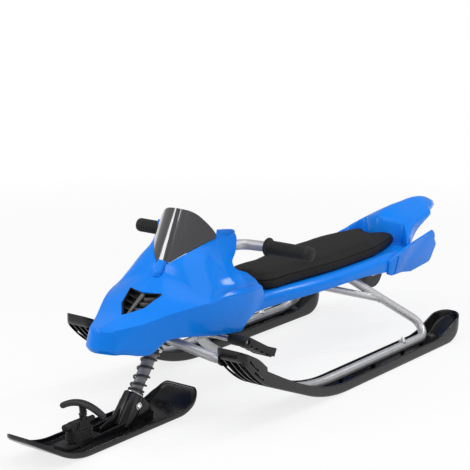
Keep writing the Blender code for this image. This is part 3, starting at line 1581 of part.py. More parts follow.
def tow_line(parent, y, neck_half, neck_wide):
    # One layer of oval loops round the neck, then a lead up to the foot of the bow.
    offset = LINE_RADIUS + 0.0008
    round_end = neck_wide + offset
    straight = neck_half - neck_wide
    per_loop = 24
    lap = 2 * math.pi * round_end + 4 * straight

    def oval(distance):
        distance %= lap
        arc = math.pi * round_end
        if distance < 2 * straight:
            return Vector((round_end, y - straight + distance, 0.0))
        distance -= 2 * straight
        if distance < arc:
            angle = distance / round_end
            return Vector((round_end * math.cos(angle), y + straight + round_end * math.sin(angle), 0))
        distance -= arc
        if distance < 2 * straight:
            return Vector((-round_end, y + straight - distance, 0.0))
        angle = math.pi + (distance - 2 * straight) / round_end
        return Vector((round_end * math.cos(angle), y - straight + round_end * math.sin(angle), 0.0))

    points = []
    count = LINE_LOOPS * per_loop + 1
    for i in range(count):
        point = oval(lap * i / per_loop)
        point.z = LINE_START + LINE_PITCH * i / per_loop
        points.append(point)
    top = points[-1]
    stem = Vector((
        TOW_STEM_RADIUS + LINE_RADIUS + GAP * 2, along(TOW_STATION),
        TOW_BOW_HEIGHT - TOW_BOW_RADIUS - 0.006,
    ))
    lead = rounded_path(
        [top, top + Vector((0.0, 0.006, 0.0008)), stem + Vector((0.004, -0.010, -0.012)), stem],
        [0.004, 0.006], math.radians(30.0),
    )
    points += lead[1:]
    made = place("tow_line", tube_mesh("tow_line", points, LINE_RADIUS, 6), RUBBER, 0.8)
    wound = points[:count]
    print("least gap in the tow line, mm:", round(least_gap(wound, LINE_RADIUS, 8) * 1000, 2))
    hang(made, parent)


# Foot brake, in the frame of its shaft

def brake(pivot):
    half = BRAKE_SHAFT_LENGTH / 2
    rod = turned_mesh("brake_shaft", rod_profile(BRAKE_SHAFT_RADIUS, -half, half), 12)
    shaft = place("brake_shaft", rod, GREY_STEEL, 0.35, 0.8)
    shaft.rotation_euler = (0.0, math.pi / 2, 0.0)
    shaft.parent = pivot
    bore = bore_guide(
        "brake_bore", Vector((-half - 0.02, 0, 0)), Vector((half + 0.02, 0, 0)),
        BRAKE_SHAFT_RADIUS + GAP, 16,
    )
    bore.parent = pivot
    for side, word in ((1, "left"), (-1, "right")):
        name = "brake_pedal_" + word
        low, high = sorted((side * PEDAL_INNER, side * PEDAL_OUTER))
        pedal = place(name, pedal_mesh(name, low, high), BLACK_PLASTIC, 0.4)
        hub = rod_guide(name + "_hub", (low, 0.0, 0.0), (high, 0.0, 0.0), PEDAL_HUB_RADIUS, 16)
        hub.parent = pivot
        combine(pedal, hub, "UNION")
        combine(pedal, bore, "DIFFERENCE")
        pedal.parent = pivot
    claw(pivot, bore)


def pedal_mesh(name, low, high):
    # A foot plate that falls to the rear, with tread bars on its lower face.
    top, under = PEDAL_HUB_RADIUS, PEDAL_HUB_RADIUS - PEDAL_THICKNESS
    outline = [(0.0, top), (0.0, under)]
    bars = 4
    pitch = (PEDAL_LENGTH - 0.020) / bars
    for i in range(bars):
        start = 0.018 + i * pitch
        outline += [(start, under), (start, under - 0.004)]
        outline += [(start + pitch * 0.6, under - 0.004), (start + pitch * 0.6, under)]
    end = PEDAL_LENGTH
    outline += [(end, under), (end, top + 0.004), (end - 0.005, top + 0.004), (end - 0.010, top)]
    mesh = prism_mesh(name, outline, "X", low, high)
    mesh.transform(Matrix.Rotation(-PEDAL_SLOPE, 4, "X"))
    return mesh


def claw(pivot, bore):
    # A toothed plate on a hub, hung from the shaft and falling to the rear.
    wide = CLAW_WIDTH / 2
    hub_half = CLAW_HUB_WIDTH / 2
    pitch = CLAW_WIDTH / CLAW_TEETH
    outline = [(hub_half, 0.0), (hub_half, CLAW_REACH * 0.45), (wide, CLAW_REACH * 0.62)]
    for i in range(CLAW_TEETH):
        start = wide - i * pitch
        outline += [(start, CLAW_REACH - 0.014), (start - pitch * 0.5, CLAW_REACH)]
    outline += [(-wide, CLAW_REACH - 0.014), (-wide, CLAW_REACH * 0.62)]
    outline += [(-hub_half, CLAW_REACH * 0.45), (-hub_half, 0.0)]
    mesh = prism_mesh("brake_claw", outline, "Z", -0.0015, 0.0015)
    mesh.transform(Matrix.Rotation(-CLAW_ANGLE, 4, "X"))
    blade = place("brake_claw", mesh, GREY_STEEL, 0.4, 0.8)
    hub = rod_guide("claw_hub", (-hub_half, 0.0, 0.0), (hub_half, 0.0, 0.0), BRAKE_HUB_RADIUS, 14)
    hub.parent = pivot
    combine(blade, hub, "UNION")
    combine(blade, bore, "DIFFERENCE")
    blade.parent = pivot


def brake_hanger():
    # A strap bent over the backbone, with a leg on each side for the shaft.
    y = along(BRAKE_STATION)
    half = HANGER_WIDTH / 2
    thick = 0.003
    top = backbone_height() + BACKBONE_RADIUS + GAP
    low = brake_height() - 0.014
    outline = [
        (half, low), (half, top + thick), (-half, top + thick), (-half, low),
        (-half + thick, low), (-half + thick, top), (half - thick, top), (half - thick, low),
    ]
    deep = HANGER_LENGTH / 2
    mesh = prism_mesh("brake_hanger", outline, "Y", y - deep, y + deep)
    made = place("brake_hanger", mesh, GREY_STEEL, 0.45, 0.7)
    hole = bore_guide(
        "hanger_hole", Vector((-half - 0.01, y, brake_height())), Vector((half + 0.01, y, brake_height())),
        BRAKE_SHAFT_RADIUS + GAP, 16,
    )
    combine(made, hole, "DIFFERENCE")


def torsion_spring():
    # Winds round the shaft between the claw's hub and the hanger, one end on the hanger.
    wire = 0.0009
    radius = BRAKE_SHAFT_RADIUS + 2 * GAP + wire + 0.0006
    start = CLAW_HUB_WIDTH / 2 + GAP + wire
    end = HANGER_WIDTH / 2 - 0.003 - GAP - wire
    coils = 3
    per_coil = 9
    points = []
    for i in range(coils * per_coil + 1):
        angle = 2 * math.pi * i / per_coil
        x = start + (end - start) * i / (coils * per_coil)
        points.append(Vector((x, radius * math.cos(angle), radius * math.sin(angle))))
    points.append(points[-1] + Vector((0.0, 0.0, 0.011)))
    made = place("brake_spring", tube_mesh("brake_spring", points, wire, 6), GREY_STEEL, 0.4, 0.9)
    made.location = (0.0, along(BRAKE_STATION), brake_height())
    print("least gap in the brake spring, mm:", round(least_gap(points, wire, 7) * 1000, 2))


# Tow line reel

def reel(pivot):
    half = REEL_WIDTH / 2
    wall = REEL_WALL
    axle = REEL_AXLE_RADIUS
    bore = bored(axle + GAP, 20)
    centre = Vector((0.0, along(REEL_STATION), reel_height()))
    case = [
        (bore, -half), (REEL_RADIUS, -half), (REEL_RADIUS, half - wall - GAP),
        (REEL_RADIUS - wall, half - wall - GAP), (REEL_RADIUS - wall, -half + wall),
        (bore, -half + wall),
    ]
    cover = [
        (bore, half - wall), (REEL_RADIUS, half - wall), (REEL_RADIUS, half), (bore, half),
    ]
    inner = half - wall - 2 * GAP
    drum = [
        (bore, -inner + GAP), (REEL_FLANGE_RADIUS, -inner + GAP),
        (REEL_FLANGE_RADIUS, -inner + 0.003), (REEL_HUB_RADIUS, -inner + 0.003),
        (REEL_HUB_RADIUS, inner - 0.003), (REEL_FLANGE_RADIUS, inner - 0.003),
        (REEL_FLANGE_RADIUS, inner), (bore, inner),
    ]
    pin = rod_profile(axle, -half - 0.008, half + 0.008)
    looks = {
        "reel_case": (case, BLACK_PLASTIC, 0.35, 0.0),
        "reel_cover": (cover, BLACK_PLASTIC, 0.35, 0.0),
        "reel_drum": (drum, GREY_STEEL, 0.5, 0.0),
        "reel_axle": (pin, BRIGHT_STEEL, 0.3, 1.0),
    }
    for name, (profile, colour, roughness, metallic) in looks.items():
        sides = 12 if name == "reel_axle" else 20
        made = place(name, turned_mesh(name, profile, sides), colour, roughness, metallic)
        made.rotation_euler = (0.0, math.pi / 2, 0.0)
        if name == "reel_drum":
            made.parent = pivot
        else:
            made.location = centre
    reel_bracket(centre, half, axle)


def reel_bracket(centre, half, axle):
    # A strap under the seat's deck with two ears that hold the axle.
    thick = 0.003
    top = deck_underside() - GAP
    inner = half + GAP
    low = centre.z - 0.010
    outline = [
        (inner + thick, low), (inner + thick, top), (-inner - thick, top), (-inner - thick, low),
        (-inner, low), (-inner, top - thick), (inner, top - thick), (inner, low),
    ]
    deep = 0.014
    mesh = prism_mesh("reel_bracket", outline, "Y", centre.y - deep, centre.y + deep)
    made = place("reel_bracket", mesh, GREY_STEEL, 0.45, 0.7)
    reach = Vector((half + 0.02, 0.0, 0.0))
    hole = bore_guide("reel_hole", centre - reach, centre + reach, axle + GAP, 12)
    combine(made, hole, "DIFFERENCE")


def build():
    steer = empty("steering_axis", (0.0, along(AXIS_STATION), 0.0), -AXIS_RAKE)
    pivot = empty("brake_axis", (0.0, along(BRAKE_STATION), brake_height()))
    spool = empty("reel_axis", (0.0, along(REEL_STATION), reel_height()))
    lift = empty("tow_axis", (0.0, along(TOW_STATION), TOW_NECK_TOP))
    holes = {side: rear_ski(side, "rear_ski_" + word) for side, word in ((1, "left"), (-1, "right"))}
    frame_tubes(holes)
    for side, word in ((1, "left"), (-1, "right")):
        rail_bolt(side, "rail_bolt_" + word)
    flat_plate("saddle_plate", SADDLE_STATION, SADDLE_LENGTH, SADDLE_WIDTH)
    flat_plate("front_seat_plate", FRONT_PLATE_STATION, FRONT_PLATE_LENGTH, FRONT_PLATE_WIDTH)
    bolt_hole = front_ski(steer)
    suspension(steer, bolt_hole)
    steering(steer)
    clamp(steer)
    handlebar(steer)
    tow_unit(steer, lift)
    vent(cowl())
    windshield()
    cowl_bar()
    seat_shell()
    seat_pad()
    brake(pivot)
    brake_hanger()
    torsion_spring()
    reel(spool)


build()
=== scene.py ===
import json
import math

import bmesh
import bpy
from mathutils import Matrix, Vector

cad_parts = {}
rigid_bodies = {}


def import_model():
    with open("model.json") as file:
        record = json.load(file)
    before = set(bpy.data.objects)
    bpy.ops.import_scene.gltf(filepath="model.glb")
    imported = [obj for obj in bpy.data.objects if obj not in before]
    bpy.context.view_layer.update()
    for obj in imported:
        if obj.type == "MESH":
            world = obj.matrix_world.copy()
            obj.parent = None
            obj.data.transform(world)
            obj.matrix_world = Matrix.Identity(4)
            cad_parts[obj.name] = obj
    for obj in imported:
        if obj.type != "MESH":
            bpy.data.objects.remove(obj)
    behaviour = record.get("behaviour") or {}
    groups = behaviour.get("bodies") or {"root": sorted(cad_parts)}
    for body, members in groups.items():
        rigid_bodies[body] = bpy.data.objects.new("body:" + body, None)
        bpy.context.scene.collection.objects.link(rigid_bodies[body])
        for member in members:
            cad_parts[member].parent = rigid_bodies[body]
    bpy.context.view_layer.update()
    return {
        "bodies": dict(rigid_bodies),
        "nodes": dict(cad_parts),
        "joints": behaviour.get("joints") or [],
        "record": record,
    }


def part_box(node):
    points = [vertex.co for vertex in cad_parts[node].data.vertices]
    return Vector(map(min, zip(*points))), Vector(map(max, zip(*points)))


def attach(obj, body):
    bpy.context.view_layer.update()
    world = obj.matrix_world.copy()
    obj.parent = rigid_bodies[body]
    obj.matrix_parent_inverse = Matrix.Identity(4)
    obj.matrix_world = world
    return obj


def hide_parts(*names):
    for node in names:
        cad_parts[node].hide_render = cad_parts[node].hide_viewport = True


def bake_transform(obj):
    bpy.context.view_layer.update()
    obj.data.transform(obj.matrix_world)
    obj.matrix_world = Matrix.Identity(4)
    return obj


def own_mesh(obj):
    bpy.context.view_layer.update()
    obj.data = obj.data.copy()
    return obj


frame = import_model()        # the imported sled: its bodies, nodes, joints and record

scene = bpy.context.scene
print("frame loaded, CAD nodes:", len(frame["nodes"]))

# Metres, +Z up, the sled points towards -Y and its own left is +X.
# A station is a distance behind a datum just ahead of the front ski.
sled = {
    "middle": 0.772,          # station of the origin
    "axisStation": 0.303,     # where the steering axis meets the ground
    "axisRake": math.radians(37.0),
    "gap": 0.0003,
    "skiTrack": 0.403,
    "deckHeight": 0.205,
    "sheet": 0.003,           # wall of the moulded shells
}
sides = (("left", 1), ("right", -1))


def along(station):
    return station - sled["middle"]


def onAxis(distance, x=0.0):
    rake = sled["axisRake"]
    y = along(sled["axisStation"]) + distance * math.sin(rake)
    return Vector((x, y, distance * math.cos(rake)))


def axisMatrix(distance=0.0):
    return Matrix.Translation(onAxis(distance)) @ Matrix.Rotation(-sled["axisRake"], 4, "X")


# Curves of one value

def ease(value, low, high):
    share = min(max((value - low) / (high - low), 0.0), 1.0)
    return share * share * (3.0 - 2.0 * share)


def bell(value, centre, width):
    return math.exp(-((value - centre) / width) ** 2)


def follow(value, knots):
    if value <= knots[0][0]:
        return knots[0][1]
    for (a, va), (b, vb) in zip(knots, knots[1:]):
        if value <= b:
            return va + (vb - va) * (value - a) / (b - a)
    return knots[-1][1]


def smoothFollow(value, knots):  # a cubic through the knots
    last = len(knots) - 1
    value = min(max(value, knots[0][0]), knots[-1][0])
    index = 0
    while index < last - 1 and value > knots[index + 1][0]:
        index += 1

    def slope(i):
        low, high = knots[max(i - 1, 0)], knots[min(i + 1, last)]
        return (high[1] - low[1]) / (high[0] - low[0])

    (a, va), (b, vb) = knots[index], knots[index + 1]
    span, t = b - a, (value - a) / (b - a)
    rise = (t**3 - 2 * t**2 + t) * slope(index) + (t**3 - t**2) * slope(index + 1)
    return (2 * t**3 - 3 * t**2 + 1) * va + (3 * t**2 - 2 * t**3) * vb + span * rise


def spread(low, high, count):
    return [low + (high - low) * i / (count - 1) for i in range(count)]


# Paths

def roundedPath(corners, radii, step=math.radians(7.0)):  # straight runs joined by arcs
    corners = [Vector(corner) for corner in corners]
    path = [corners[0]]
    for before, corner, after, radius in zip(corners, corners[1:], corners[2:], radii):
        toward, away = (before - corner).normalized(), (after - corner).normalized()
        turn = math.pi - toward.angle(away)
        if turn < 1e-4:
            continue
        setback = radius * math.tan(turn / 2)
        centre = corner + (toward + away).normalized() * radius / math.cos(turn / 2)
        start = corner + toward * setback - centre
        axis = start.cross(corner + away * setback - centre).normalized()
        pieces = max(3, math.ceil(turn / step))
        turns = [Matrix.Rotation(turn * i / pieces, 3, axis) for i in range(pieces + 1)]
        path += [centre + matrix @ start for matrix in turns]
    return path + [corners[-1]]


def evenPath(path, step):  # extra points, so that no run is longer than a step
    made = [Vector(path[0])]
    for a, b in zip(path, path[1:]):
        pieces = max(1, math.ceil((Vector(b) - Vector(a)).length / step))
        made += [Vector(a).lerp(Vector(b), i / pieces) for i in range(1, pieces + 1)]
    return made


def pathFrames(path, side=None):  # a matrix at each point, its Z along the path
    headings = [(b - a).normalized() for a, b in zip(path, path[1:])]
    side = Vector(side) if side else headings[0].orthogonal()
    made = []
    for i, point in enumerate(path):
        heading = (headings[max(i - 1, 0)] + headings[min(i, len(headings) - 1)]).normalized()
        side = (side - heading * side.dot(heading)).normalized()
        up = heading.cross(side)
        turned = Matrix((side, up, heading)).transposed().to_4x4()
        made.append(Matrix.Translation(point) @ turned)
    return made


# Shader helpers

class Flow:  # a socket with arithmetic
    def __init__(self, finish, socket):
        self.finish = finish
        self.socket = socket

    def math(self, operation, *parts):
        return self.finish.node("Math", {"operation": operation}, dict(enumerate(parts)))

    def single(self, operation):
        return self.math(operation, self)

    def __add__(self, other):
        return self.math("ADD", self, other)

    __radd__ = __add__

    def __sub__(self, other):
        return self.math("SUBTRACT", self, other)

    def __rsub__(self, other):
        return self.math("SUBTRACT", other, self)

    def __mul__(self, other):
        return self.math("MULTIPLY", self, other)

    def clamp(self, low, high):  # 0 below low, 1 above high
        return self.finish.node("MapRange", {"clamp": True}, {0: self, 1: low, 2: high})


class Finish:  # one node material
    def __init__(self, name, **plain):
        self.material = bpy.data.materials.new(name)
        self.material.use_nodes = True
        self.tree = self.material.node_tree
        self.shader = self.tree.nodes["Principled BSDF"]
        self.place = self.node("TexCoord", output="Object")
        for key, value in plain.items():
            self.feed(key.replace("_", " "), value)

    def node(self, kind, settings=None, inputs=None, output=0):
        made = self.tree.nodes.new("ShaderNode" + kind)
        for key, value in (settings or {}).items():
            setattr(made, key, value)
        for key, value in (inputs or {}).items():
            if isinstance(value, Flow):
                self.tree.links.new(value.socket, made.inputs[key])
            else:
                made.inputs[key].default_value = value
        return Flow(self, made.outputs[output])

    def feed(self, name, value):
        socket = self.shader.inputs[name]
        if isinstance(value, Flow):
            self.tree.links.new(value.socket, socket)
        else:
            socket.default_value = value

    def mix(self, factor, a, b):  # colours
        return self.node("Mix", {"data_type": "RGBA"}, {"Factor": factor, 6: a, 7: b}, output=2)

    def paint(self, factor, a, b):
        self.feed("Base Color", self.mix(factor, a, b))

    def height(self):
        return self.node("SeparateXYZ", {}, {"Vector": self.place}, "Z")

    def stretch(self, scale, turn=(0.0, 0.0, 0.0), source=None):
        inputs = {"Vector": source or self.place, "Scale": scale, "Rotation": turn}
        return self.node("Mapping", {}, inputs)

    def grain(self, scale, detail=3.0, roughness=0.55, source=None):
        inputs = {"Vector": source or self.place, "Scale": scale, "Detail": detail, "Roughness": roughness}
        return self.node("TexNoise", {}, inputs)

    def bump(self, height, distance, strength=1.0):
        inputs = {"Height": height, "Distance": distance, "Strength": strength}
        self.feed("Normal", self.node("Bump", {}, inputs, output="Normal"))


def shade(red, green, blue):
    return (red, green, blue, 1.0)


def grey(tone, blue=None):
    return shade(tone, tone, tone if blue is None else blue)


# Mesh helpers

def madeVerts(result, key="geom"):
    return [item for item in result[key] if isinstance(item, bmesh.types.BMVert)]


def madeEdges(result):
    return [item for item in result["geom"] if isinstance(item, bmesh.types.BMEdge)]


def edgesOf(verts):
    return {edge for vert in verts for edge in vert.link_edges}


def everything(bm):
    return bm.verts[:] + bm.edges[:] + bm.faces[:]


def bevelEdges(bm, edges, width, segments=2):
    bmesh.ops.bevel(
        bm, geom=list(edges), offset=width, offset_type="OFFSET", affect="EDGES", segments=segments,
        profile=0.5, material=-1, clamp_overlap=True,
    )


def softenPlate(bm, verts, width):  # rounds its edges, but not the arcs at its corners
    bevelEdges(bm, [edge for edge in edgesOf(verts) if edge.calc_face_angle(0) > 0.6], width)


def turned(bm, profile, matrix, segments):  # a profile of (radius, height) pairs
    verts = [bm.verts.new((radius, 0.0, height)) for radius, height in profile]
    edges = [bm.edges.new(pair) for pair in zip(verts, verts[1:])]
    if profile[0][0] > 1e-7 and profile[-1][0] > 1e-7:
        edges.append(bm.edges.new((verts[-1], verts[0])))
    before = set(bm.verts) - set(verts)
    bmesh.ops.spin(
        bm, geom=verts + edges, cent=(0, 0, 0), axis=(0, 0, 1), angle=2 * math.pi, steps=segments,
        use_merge=True,
    )
    fresh = [v for v in bm.verts if v not in before]
    bmesh.ops.remove_doubles(bm, verts=fresh, dist=1e-6)
    fresh = [v for v in bm.verts if v not in before]
    bmesh.ops.transform(bm, matrix=matrix, verts=fresh)


def softProfile(corners, width, segments=3):  # rounds the corners of a turned profile
    made = []
    for i, (radius, height) in enumerate(corners):
        ends = i in (0, len(corners) - 1)
        if ends and (radius < 1e-7 or corners[0][0] < 1e-7):
            made.append((radius, height))
            continue
        corner = Vector((radius, height, 0.0))
        before = Vector((*corners[i - 1], 0.0)) - corner
        after = Vector((*corners[(i + 1) % len(corners)], 0.0)) - corner
        reach = min(width, before.length * 0.45, after.length * 0.45)
        a, b = corner + before.normalized() * reach, corner + after.normalized() * reach
        for j in range(segments + 1):
            t = j / segments
            point = a * (1 - t) ** 2 + corner * 2 * t * (1 - t) + b * t**2
            made.append((point.x, point.y))
    return made


def wrapRing(ring, layer, frame, radius, run, length):  # the cord's own map, once round and along it
    back, newVerts = frame.inverted(), set(ring)
    for face in {f for v in ring for f in v.link_faces}:
        middle = back @ face.calc_center_median()
        centre = math.atan2(middle.y, middle.x)
        for loop in face.loops:
            point = back @ loop.vert.co
            turn = math.atan2(point.y, point.x) - centre
            turn = centre + (turn + math.pi) % (2 * math.pi) - math.pi
            distance = run + (length if loop.vert in newVerts else 0.0)
            loop[layer].uv = (distance / (2 * math.pi * radius), turn / (2 * math.pi))


def sweep(bm, path, radius, segments, side=None, closed=False, shape=None, wrap=False):
    # A round bar along a path. shape gives each ring its (side, up) scale.
    path = [Vector(point) for point in path]
    frames = pathFrames(path + path[:2], side)[1:-1] if closed else pathFrames(path, side)
    if closed:
        frames = [frames[-1], *frames[:-1]]
    layer = bm.loops.layers.uv.verify() if wrap else None

    def ringMatrix(i):
        wide, high = shape(i / (len(frames) - 1)) if shape else (1.0, 1.0)
        return frames[i] @ Matrix.Diagonal((wide, high, 1.0, 1.0))

    ring = bmesh.ops.create_circle(
        bm, segments=segments, radius=radius, cap_ends=not closed, matrix=ringMatrix(0)
    )["verts"]
    startEdges = ringEdges = list(edgesOf(ring))
    run = 0.0
    for i in range(1, len(frames)):
        result = bmesh.ops.extrude_edge_only(bm, edges=ringEdges)
        ring, ringEdges = madeVerts(result), madeEdges(result)
        bmesh.ops.transform(bm, matrix=ringMatrix(i) @ ringMatrix(i - 1).inverted(), verts=ring)
        length = (frames[i].translation - frames[i - 1].translation).length
        if wrap:
            wrapRing(ring, layer, frames[i], radius, run, length)
        run += length
    if closed:
        bmesh.ops.bridge_loops(bm, edges=ringEdges + startEdges)
    else:
        bmesh.ops.contextual_create(bm, geom=ringEdges)


def plate(bm, outline, matrix, low, high):  # an outline of (u, v) pairs pushed along Z
    verts = [bm.verts.new((u, v, low)) for u, v in outline]
    face = bm.faces.new(verts)
    result = bmesh.ops.extrude_face_region(bm, geom=[face])
    top = madeVerts(result)
    bmesh.ops.translate(bm, vec=(0.0, 0.0, high - low), verts=top)
    bmesh.ops.transform(bm, matrix=matrix, verts=verts + top)
    bmesh.ops.recalc_face_normals(bm, faces=list({f for v in verts + top for f in v.link_faces}))
    return verts + top


# turns (u, v, w) into (y, z, x)
sideways = Matrix(((0, 0, 1, 0), (1, 0, 0, 0), (0, 1, 0, 0), (0, 0, 0, 1)))


def sidePlate(bm, outline, low, high):  # an outline of (station, height) pairs pushed along X
    return plate(bm, [(along(s), z) for s, z in outline], sideways, low, high)


def roundedOutline(corners, radius):  # one radius for all corners, or one for each
    made = []
    for i, corner in enumerate(corners):
        trio = [corners[i - 1], corner, corners[(i + 1) % len(corners)]]
        reach = radius[i] if isinstance(radius, list) else radius
        if reach <= 0.0:
            made.append(corner)
            continue
        path = roundedPath([(u, v, 0.0) for u, v in trio], [reach], math.radians(15.0))
        made += [(point.x, point.y) for point in path[1:-1]]
    return made


def hexHead(bm, matrix, width, height, washer):  # a bevelled nut or bolt head on a washer
    rim = softProfile([(0.0, 0.0), (width * 0.78, 0.0), (width * 0.78, washer), (0.0, washer)], 0.0004)
    turned(bm, rim, matrix, 24)
    radius = width / math.sqrt(3.0)
    angles = [i * math.pi / 3 for i in range(6)]
    outline = [(radius * math.cos(angle), radius * math.sin(angle)) for angle in angles]
    bevelEdges(bm, edgesOf(plate(bm, outline, matrix, washer, washer + height)), width * 0.05)


def giveWall(bm, thickness, facing=(0.0, 0.0, 1.0), proud=0.0006, cuts=2):
    # Turns an open skin into a sheet whose rim is rounded.
    bmesh.ops.recalc_face_normals(bm, faces=bm.faces)
    if sum(face.normal.dot(Vector(facing)) * face.calc_area() for face in bm.faces) < 0.0:
        bmesh.ops.reverse_faces(bm, faces=bm.faces)
    skin = set(bm.verts)
    bmesh.ops.solidify(bm, geom=bm.faces[:], thickness=thickness)
    bm.normal_update()
    crossing = [e for e in bm.edges if (e.verts[0] in skin) != (e.verts[1] in skin)]
    moves = {}
    for edge in crossing:
        way = sum((face.normal for face in edge.link_faces), Vector()).normalized()
        a, b = edge.verts[0].co, edge.verts[1].co
        for i in range(1, cuts + 1):
            spot = a.lerp(b, i / (cuts + 1))
            moves[tuple(round(c, 6) for c in spot)] = way * proud * math.sin(math.pi * i / (cuts + 1))
    result = bmesh.ops.subdivide_edges(bm, edges=crossing, cuts=cuts, use_grid_fill=True)
    for vert in madeVerts(result, "geom_inner"):
        vert.co += moves.get(tuple(round(c, 6) for c in vert.co), Vector())


def linkPiece(name, mesh, finish, body, nodes=()):
    mesh.materials.clear()
    mesh.materials.append(finish.material)
    piece = bpy.data.objects.new(name, mesh)
    scene.collection.objects.link(piece)
    if body:  # a piece without one is left without a body
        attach(piece, body)
    if nodes:
        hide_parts(*nodes)
    return piece


def smoothMesh(mesh, angle):
    mesh.shade_smooth()
    mesh.set_sharp_from_angle(angle=math.radians(angle))


def finishPiece(name, bm, finish, body, nodes=(), angle=35.0):
    bmesh.ops.remove_doubles(bm, verts=bm.verts, dist=1e-6)
    bmesh.ops.recalc_face_normals(bm, faces=bm.faces)
    mesh = bpy.data.meshes.new(name)
    bm.to_mesh(mesh)
    bm.free()
    smoothMesh(mesh, angle)
    return linkPiece(name, mesh, finish, body, nodes)


def turnedPiece(name, profile, matrix, finish, body, nodes=(), segments=64, angle=40.0):
    bm = bmesh.new()
    turned(bm, profile, matrix, segments)
    return finishPiece(name, bm, finish, body, nodes, angle)


def sweptPiece(name, path, radius, segments, finish, body, nodes=(), slot=None, angle=50.0, **more):
    bm = bmesh.new()
    sweep(bm, path, radius, segments, **more)
    return finishPiece(name, bm, finish, body, nodes, angle)


def bake(piece, angle):  # applies what modifies the piece
    bpy.context.view_layer.update()
    graph = bpy.context.evaluated_depsgraph_get()
    mesh = bpy.data.meshes.new_from_object(piece.evaluated_get(graph), depsgraph=graph)
    piece.modifiers.clear()
    piece.data = mesh
    smoothMesh(mesh, angle)


def carve(piece, bm, angle, operation="DIFFERENCE"):  # cuts or joins a shape, which then goes
    bmesh.ops.recalc_face_normals(bm, faces=bm.faces)
    mesh = bpy.data.meshes.new("tool")
    bm.to_mesh(mesh)
    bm.free()
    tool = bpy.data.objects.new("tool", mesh)
    scene.collection.objects.link(tool)
    step = piece.modifiers.new("carve", "BOOLEAN")
    step.operation = operation
    step.solver = "EXACT"
    step.object = tool
    bake(piece, angle)
    bpy.data.objects.remove(tool, do_unlink=True)


def polishNode(node, name, finish, body, width):
    # A copy of a hardware solid with its facets merged and its edges broken.
    angle = 30.0
    bm = bmesh.new()
    bm.from_mesh(frame["nodes"][node].data)
    bmesh.ops.remove_doubles(bm, verts=bm.verts, dist=1e-6)
    bmesh.ops.dissolve_limit(
        bm, angle_limit=math.radians(0.6), use_dissolve_boundaries=False, verts=bm.verts, edges=bm.edges
    )
    piece = finishPiece(name, bm, finish, body, (node,), angle=angle)
    step = piece.modifiers.new("edges", "BEVEL")
    step.width = width
    step.segments = 2
    step.limit_method = "ANGLE"
    step.angle_limit = math.radians(angle)
    step.use_clamp_overlap = True
    step.harden_normals = False
    bake(piece, angle)


# Finishes

def mouldedBlue():
    finish = Finish("moulded blue", Coat_Weight=0.22, Coat_Roughness=0.12, Specular_IOR_Level=0.08)
    drift = finish.grain(5.0, 2.0)
    speck = finish.grain(420.0, 2.0)
    finish.paint(drift.clamp(0.3, 0.7), shade(0.0028, 0.183, 0.735), shade(0.0040, 0.207, 0.800))
    scuffs = finish.grain(60.0, 6.0, 0.7, finish.stretch((1.0, 0.12, 1.0), (0.3, 0.2, 0.5)))
    rubbed = scuffs.clamp(0.62, 0.72)
    finish.feed("Roughness", 0.24 + drift * 0.06 + rubbed * 0.10)
    finish.bump(finish.grain(260.0, 1.0) * 0.8 + speck * 0.2, 0.00012, 0.35)
    return finish


def blackGloss():  # the skis: gloss on top, worn dull along the sole
    finish = Finish("ski black", Specular_IOR_Level=0.28, Coat_Weight=0.08, Coat_Roughness=0.10)
    height = finish.height()
    drift = finish.grain(14.0, 3.0)
    scratches = finish.grain(90.0, 5.0, 0.75, finish.stretch((1.0, 0.04, 1.0))).clamp(0.56, 0.66)
    low = 1 - height.clamp(0.001, 0.014)
    worn = scratches * (low * 0.8 + 0.12)
    black = finish.mix(drift, grey(0.0050, 0.0058), grey(0.0095, 0.0105))
    finish.paint(worn, black, grey(0.055, 0.058))
    finish.feed("Roughness", 0.17 + drift * 0.10 + worn * 0.30)
    finish.bump(finish.grain(380.0, 2.0) - worn * 0.6, 0.00014, 0.4)
    return finish


def blackMatte(name="grained black", tone=0.016, rough=0.44):
    finish = Finish(name, Specular_IOR_Level=0.30)
    grit = finish.grain(900.0, 3.0, 0.6)
    drift = finish.grain(25.0, 3.0)
    finish.paint(drift, grey(tone * 0.7, tone * 0.75), grey(tone * 1.25, tone * 1.3))
    finish.feed("Roughness", rough + drift * 0.10 + grit * 0.06)
    finish.bump(grit, 0.00018, 0.6)
    return finish


def smokedScreen():
    finish = Finish(
        "smoked screen", Specular_IOR_Level=1.0, Coat_Weight=1.0, Coat_IOR=1.7, Coat_Roughness=0.04
    )
    drift = finish.grain(9.0, 2.0)
    dust = finish.grain(260.0, 5.0, 0.7).clamp(0.60, 0.75)
    finish.paint(drift, grey(0.012, 0.015), grey(0.022, 0.027))
    finish.feed("Roughness", 0.14 + drift * 0.06 + dust * 0.10)
    finish.bump(finish.grain(180.0, 1.0), 0.00010, 0.3)
    return finish


def paintedTube():  # silver powder coat
    finish = Finish("silver tube", Coat_Weight=0.2, Coat_Roughness=0.15)
    sparkle = finish.grain(1600.0, 2.0, 0.6)
    drift = finish.grain(22.0, 4.0)
    light = finish.mix(sparkle, grey(0.40, 0.415), grey(0.62, 0.635))
    finish.paint(drift.clamp(0.45, 0.85), light, grey(0.36, 0.37))
    finish.feed("Metallic", 0.42 + sparkle * 0.2)
    finish.feed("Roughness", 0.30 + drift * 0.10 + sparkle * 0.05)
    finish.bump(finish.grain(700.0, 2.0), 0.00012, 0.4)
    return finish


def brightMetal(name="bright zinc", rough=0.14, tone=0.72):
    finish = Finish(name, Metallic=1.0)
    drift = finish.grain(60.0, 4.0)
    lines = finish.grain(900.0, 2.0, 0.6, finish.stretch((1.0, 1.0, 0.08)))
    finish.paint(drift, grey(tone * 0.86, tone * 0.88), grey(tone))
    finish.feed("Roughness", rough + drift * 0.10 + lines * 0.06)
    finish.bump(lines, 0.00006, 0.5)
    return finish


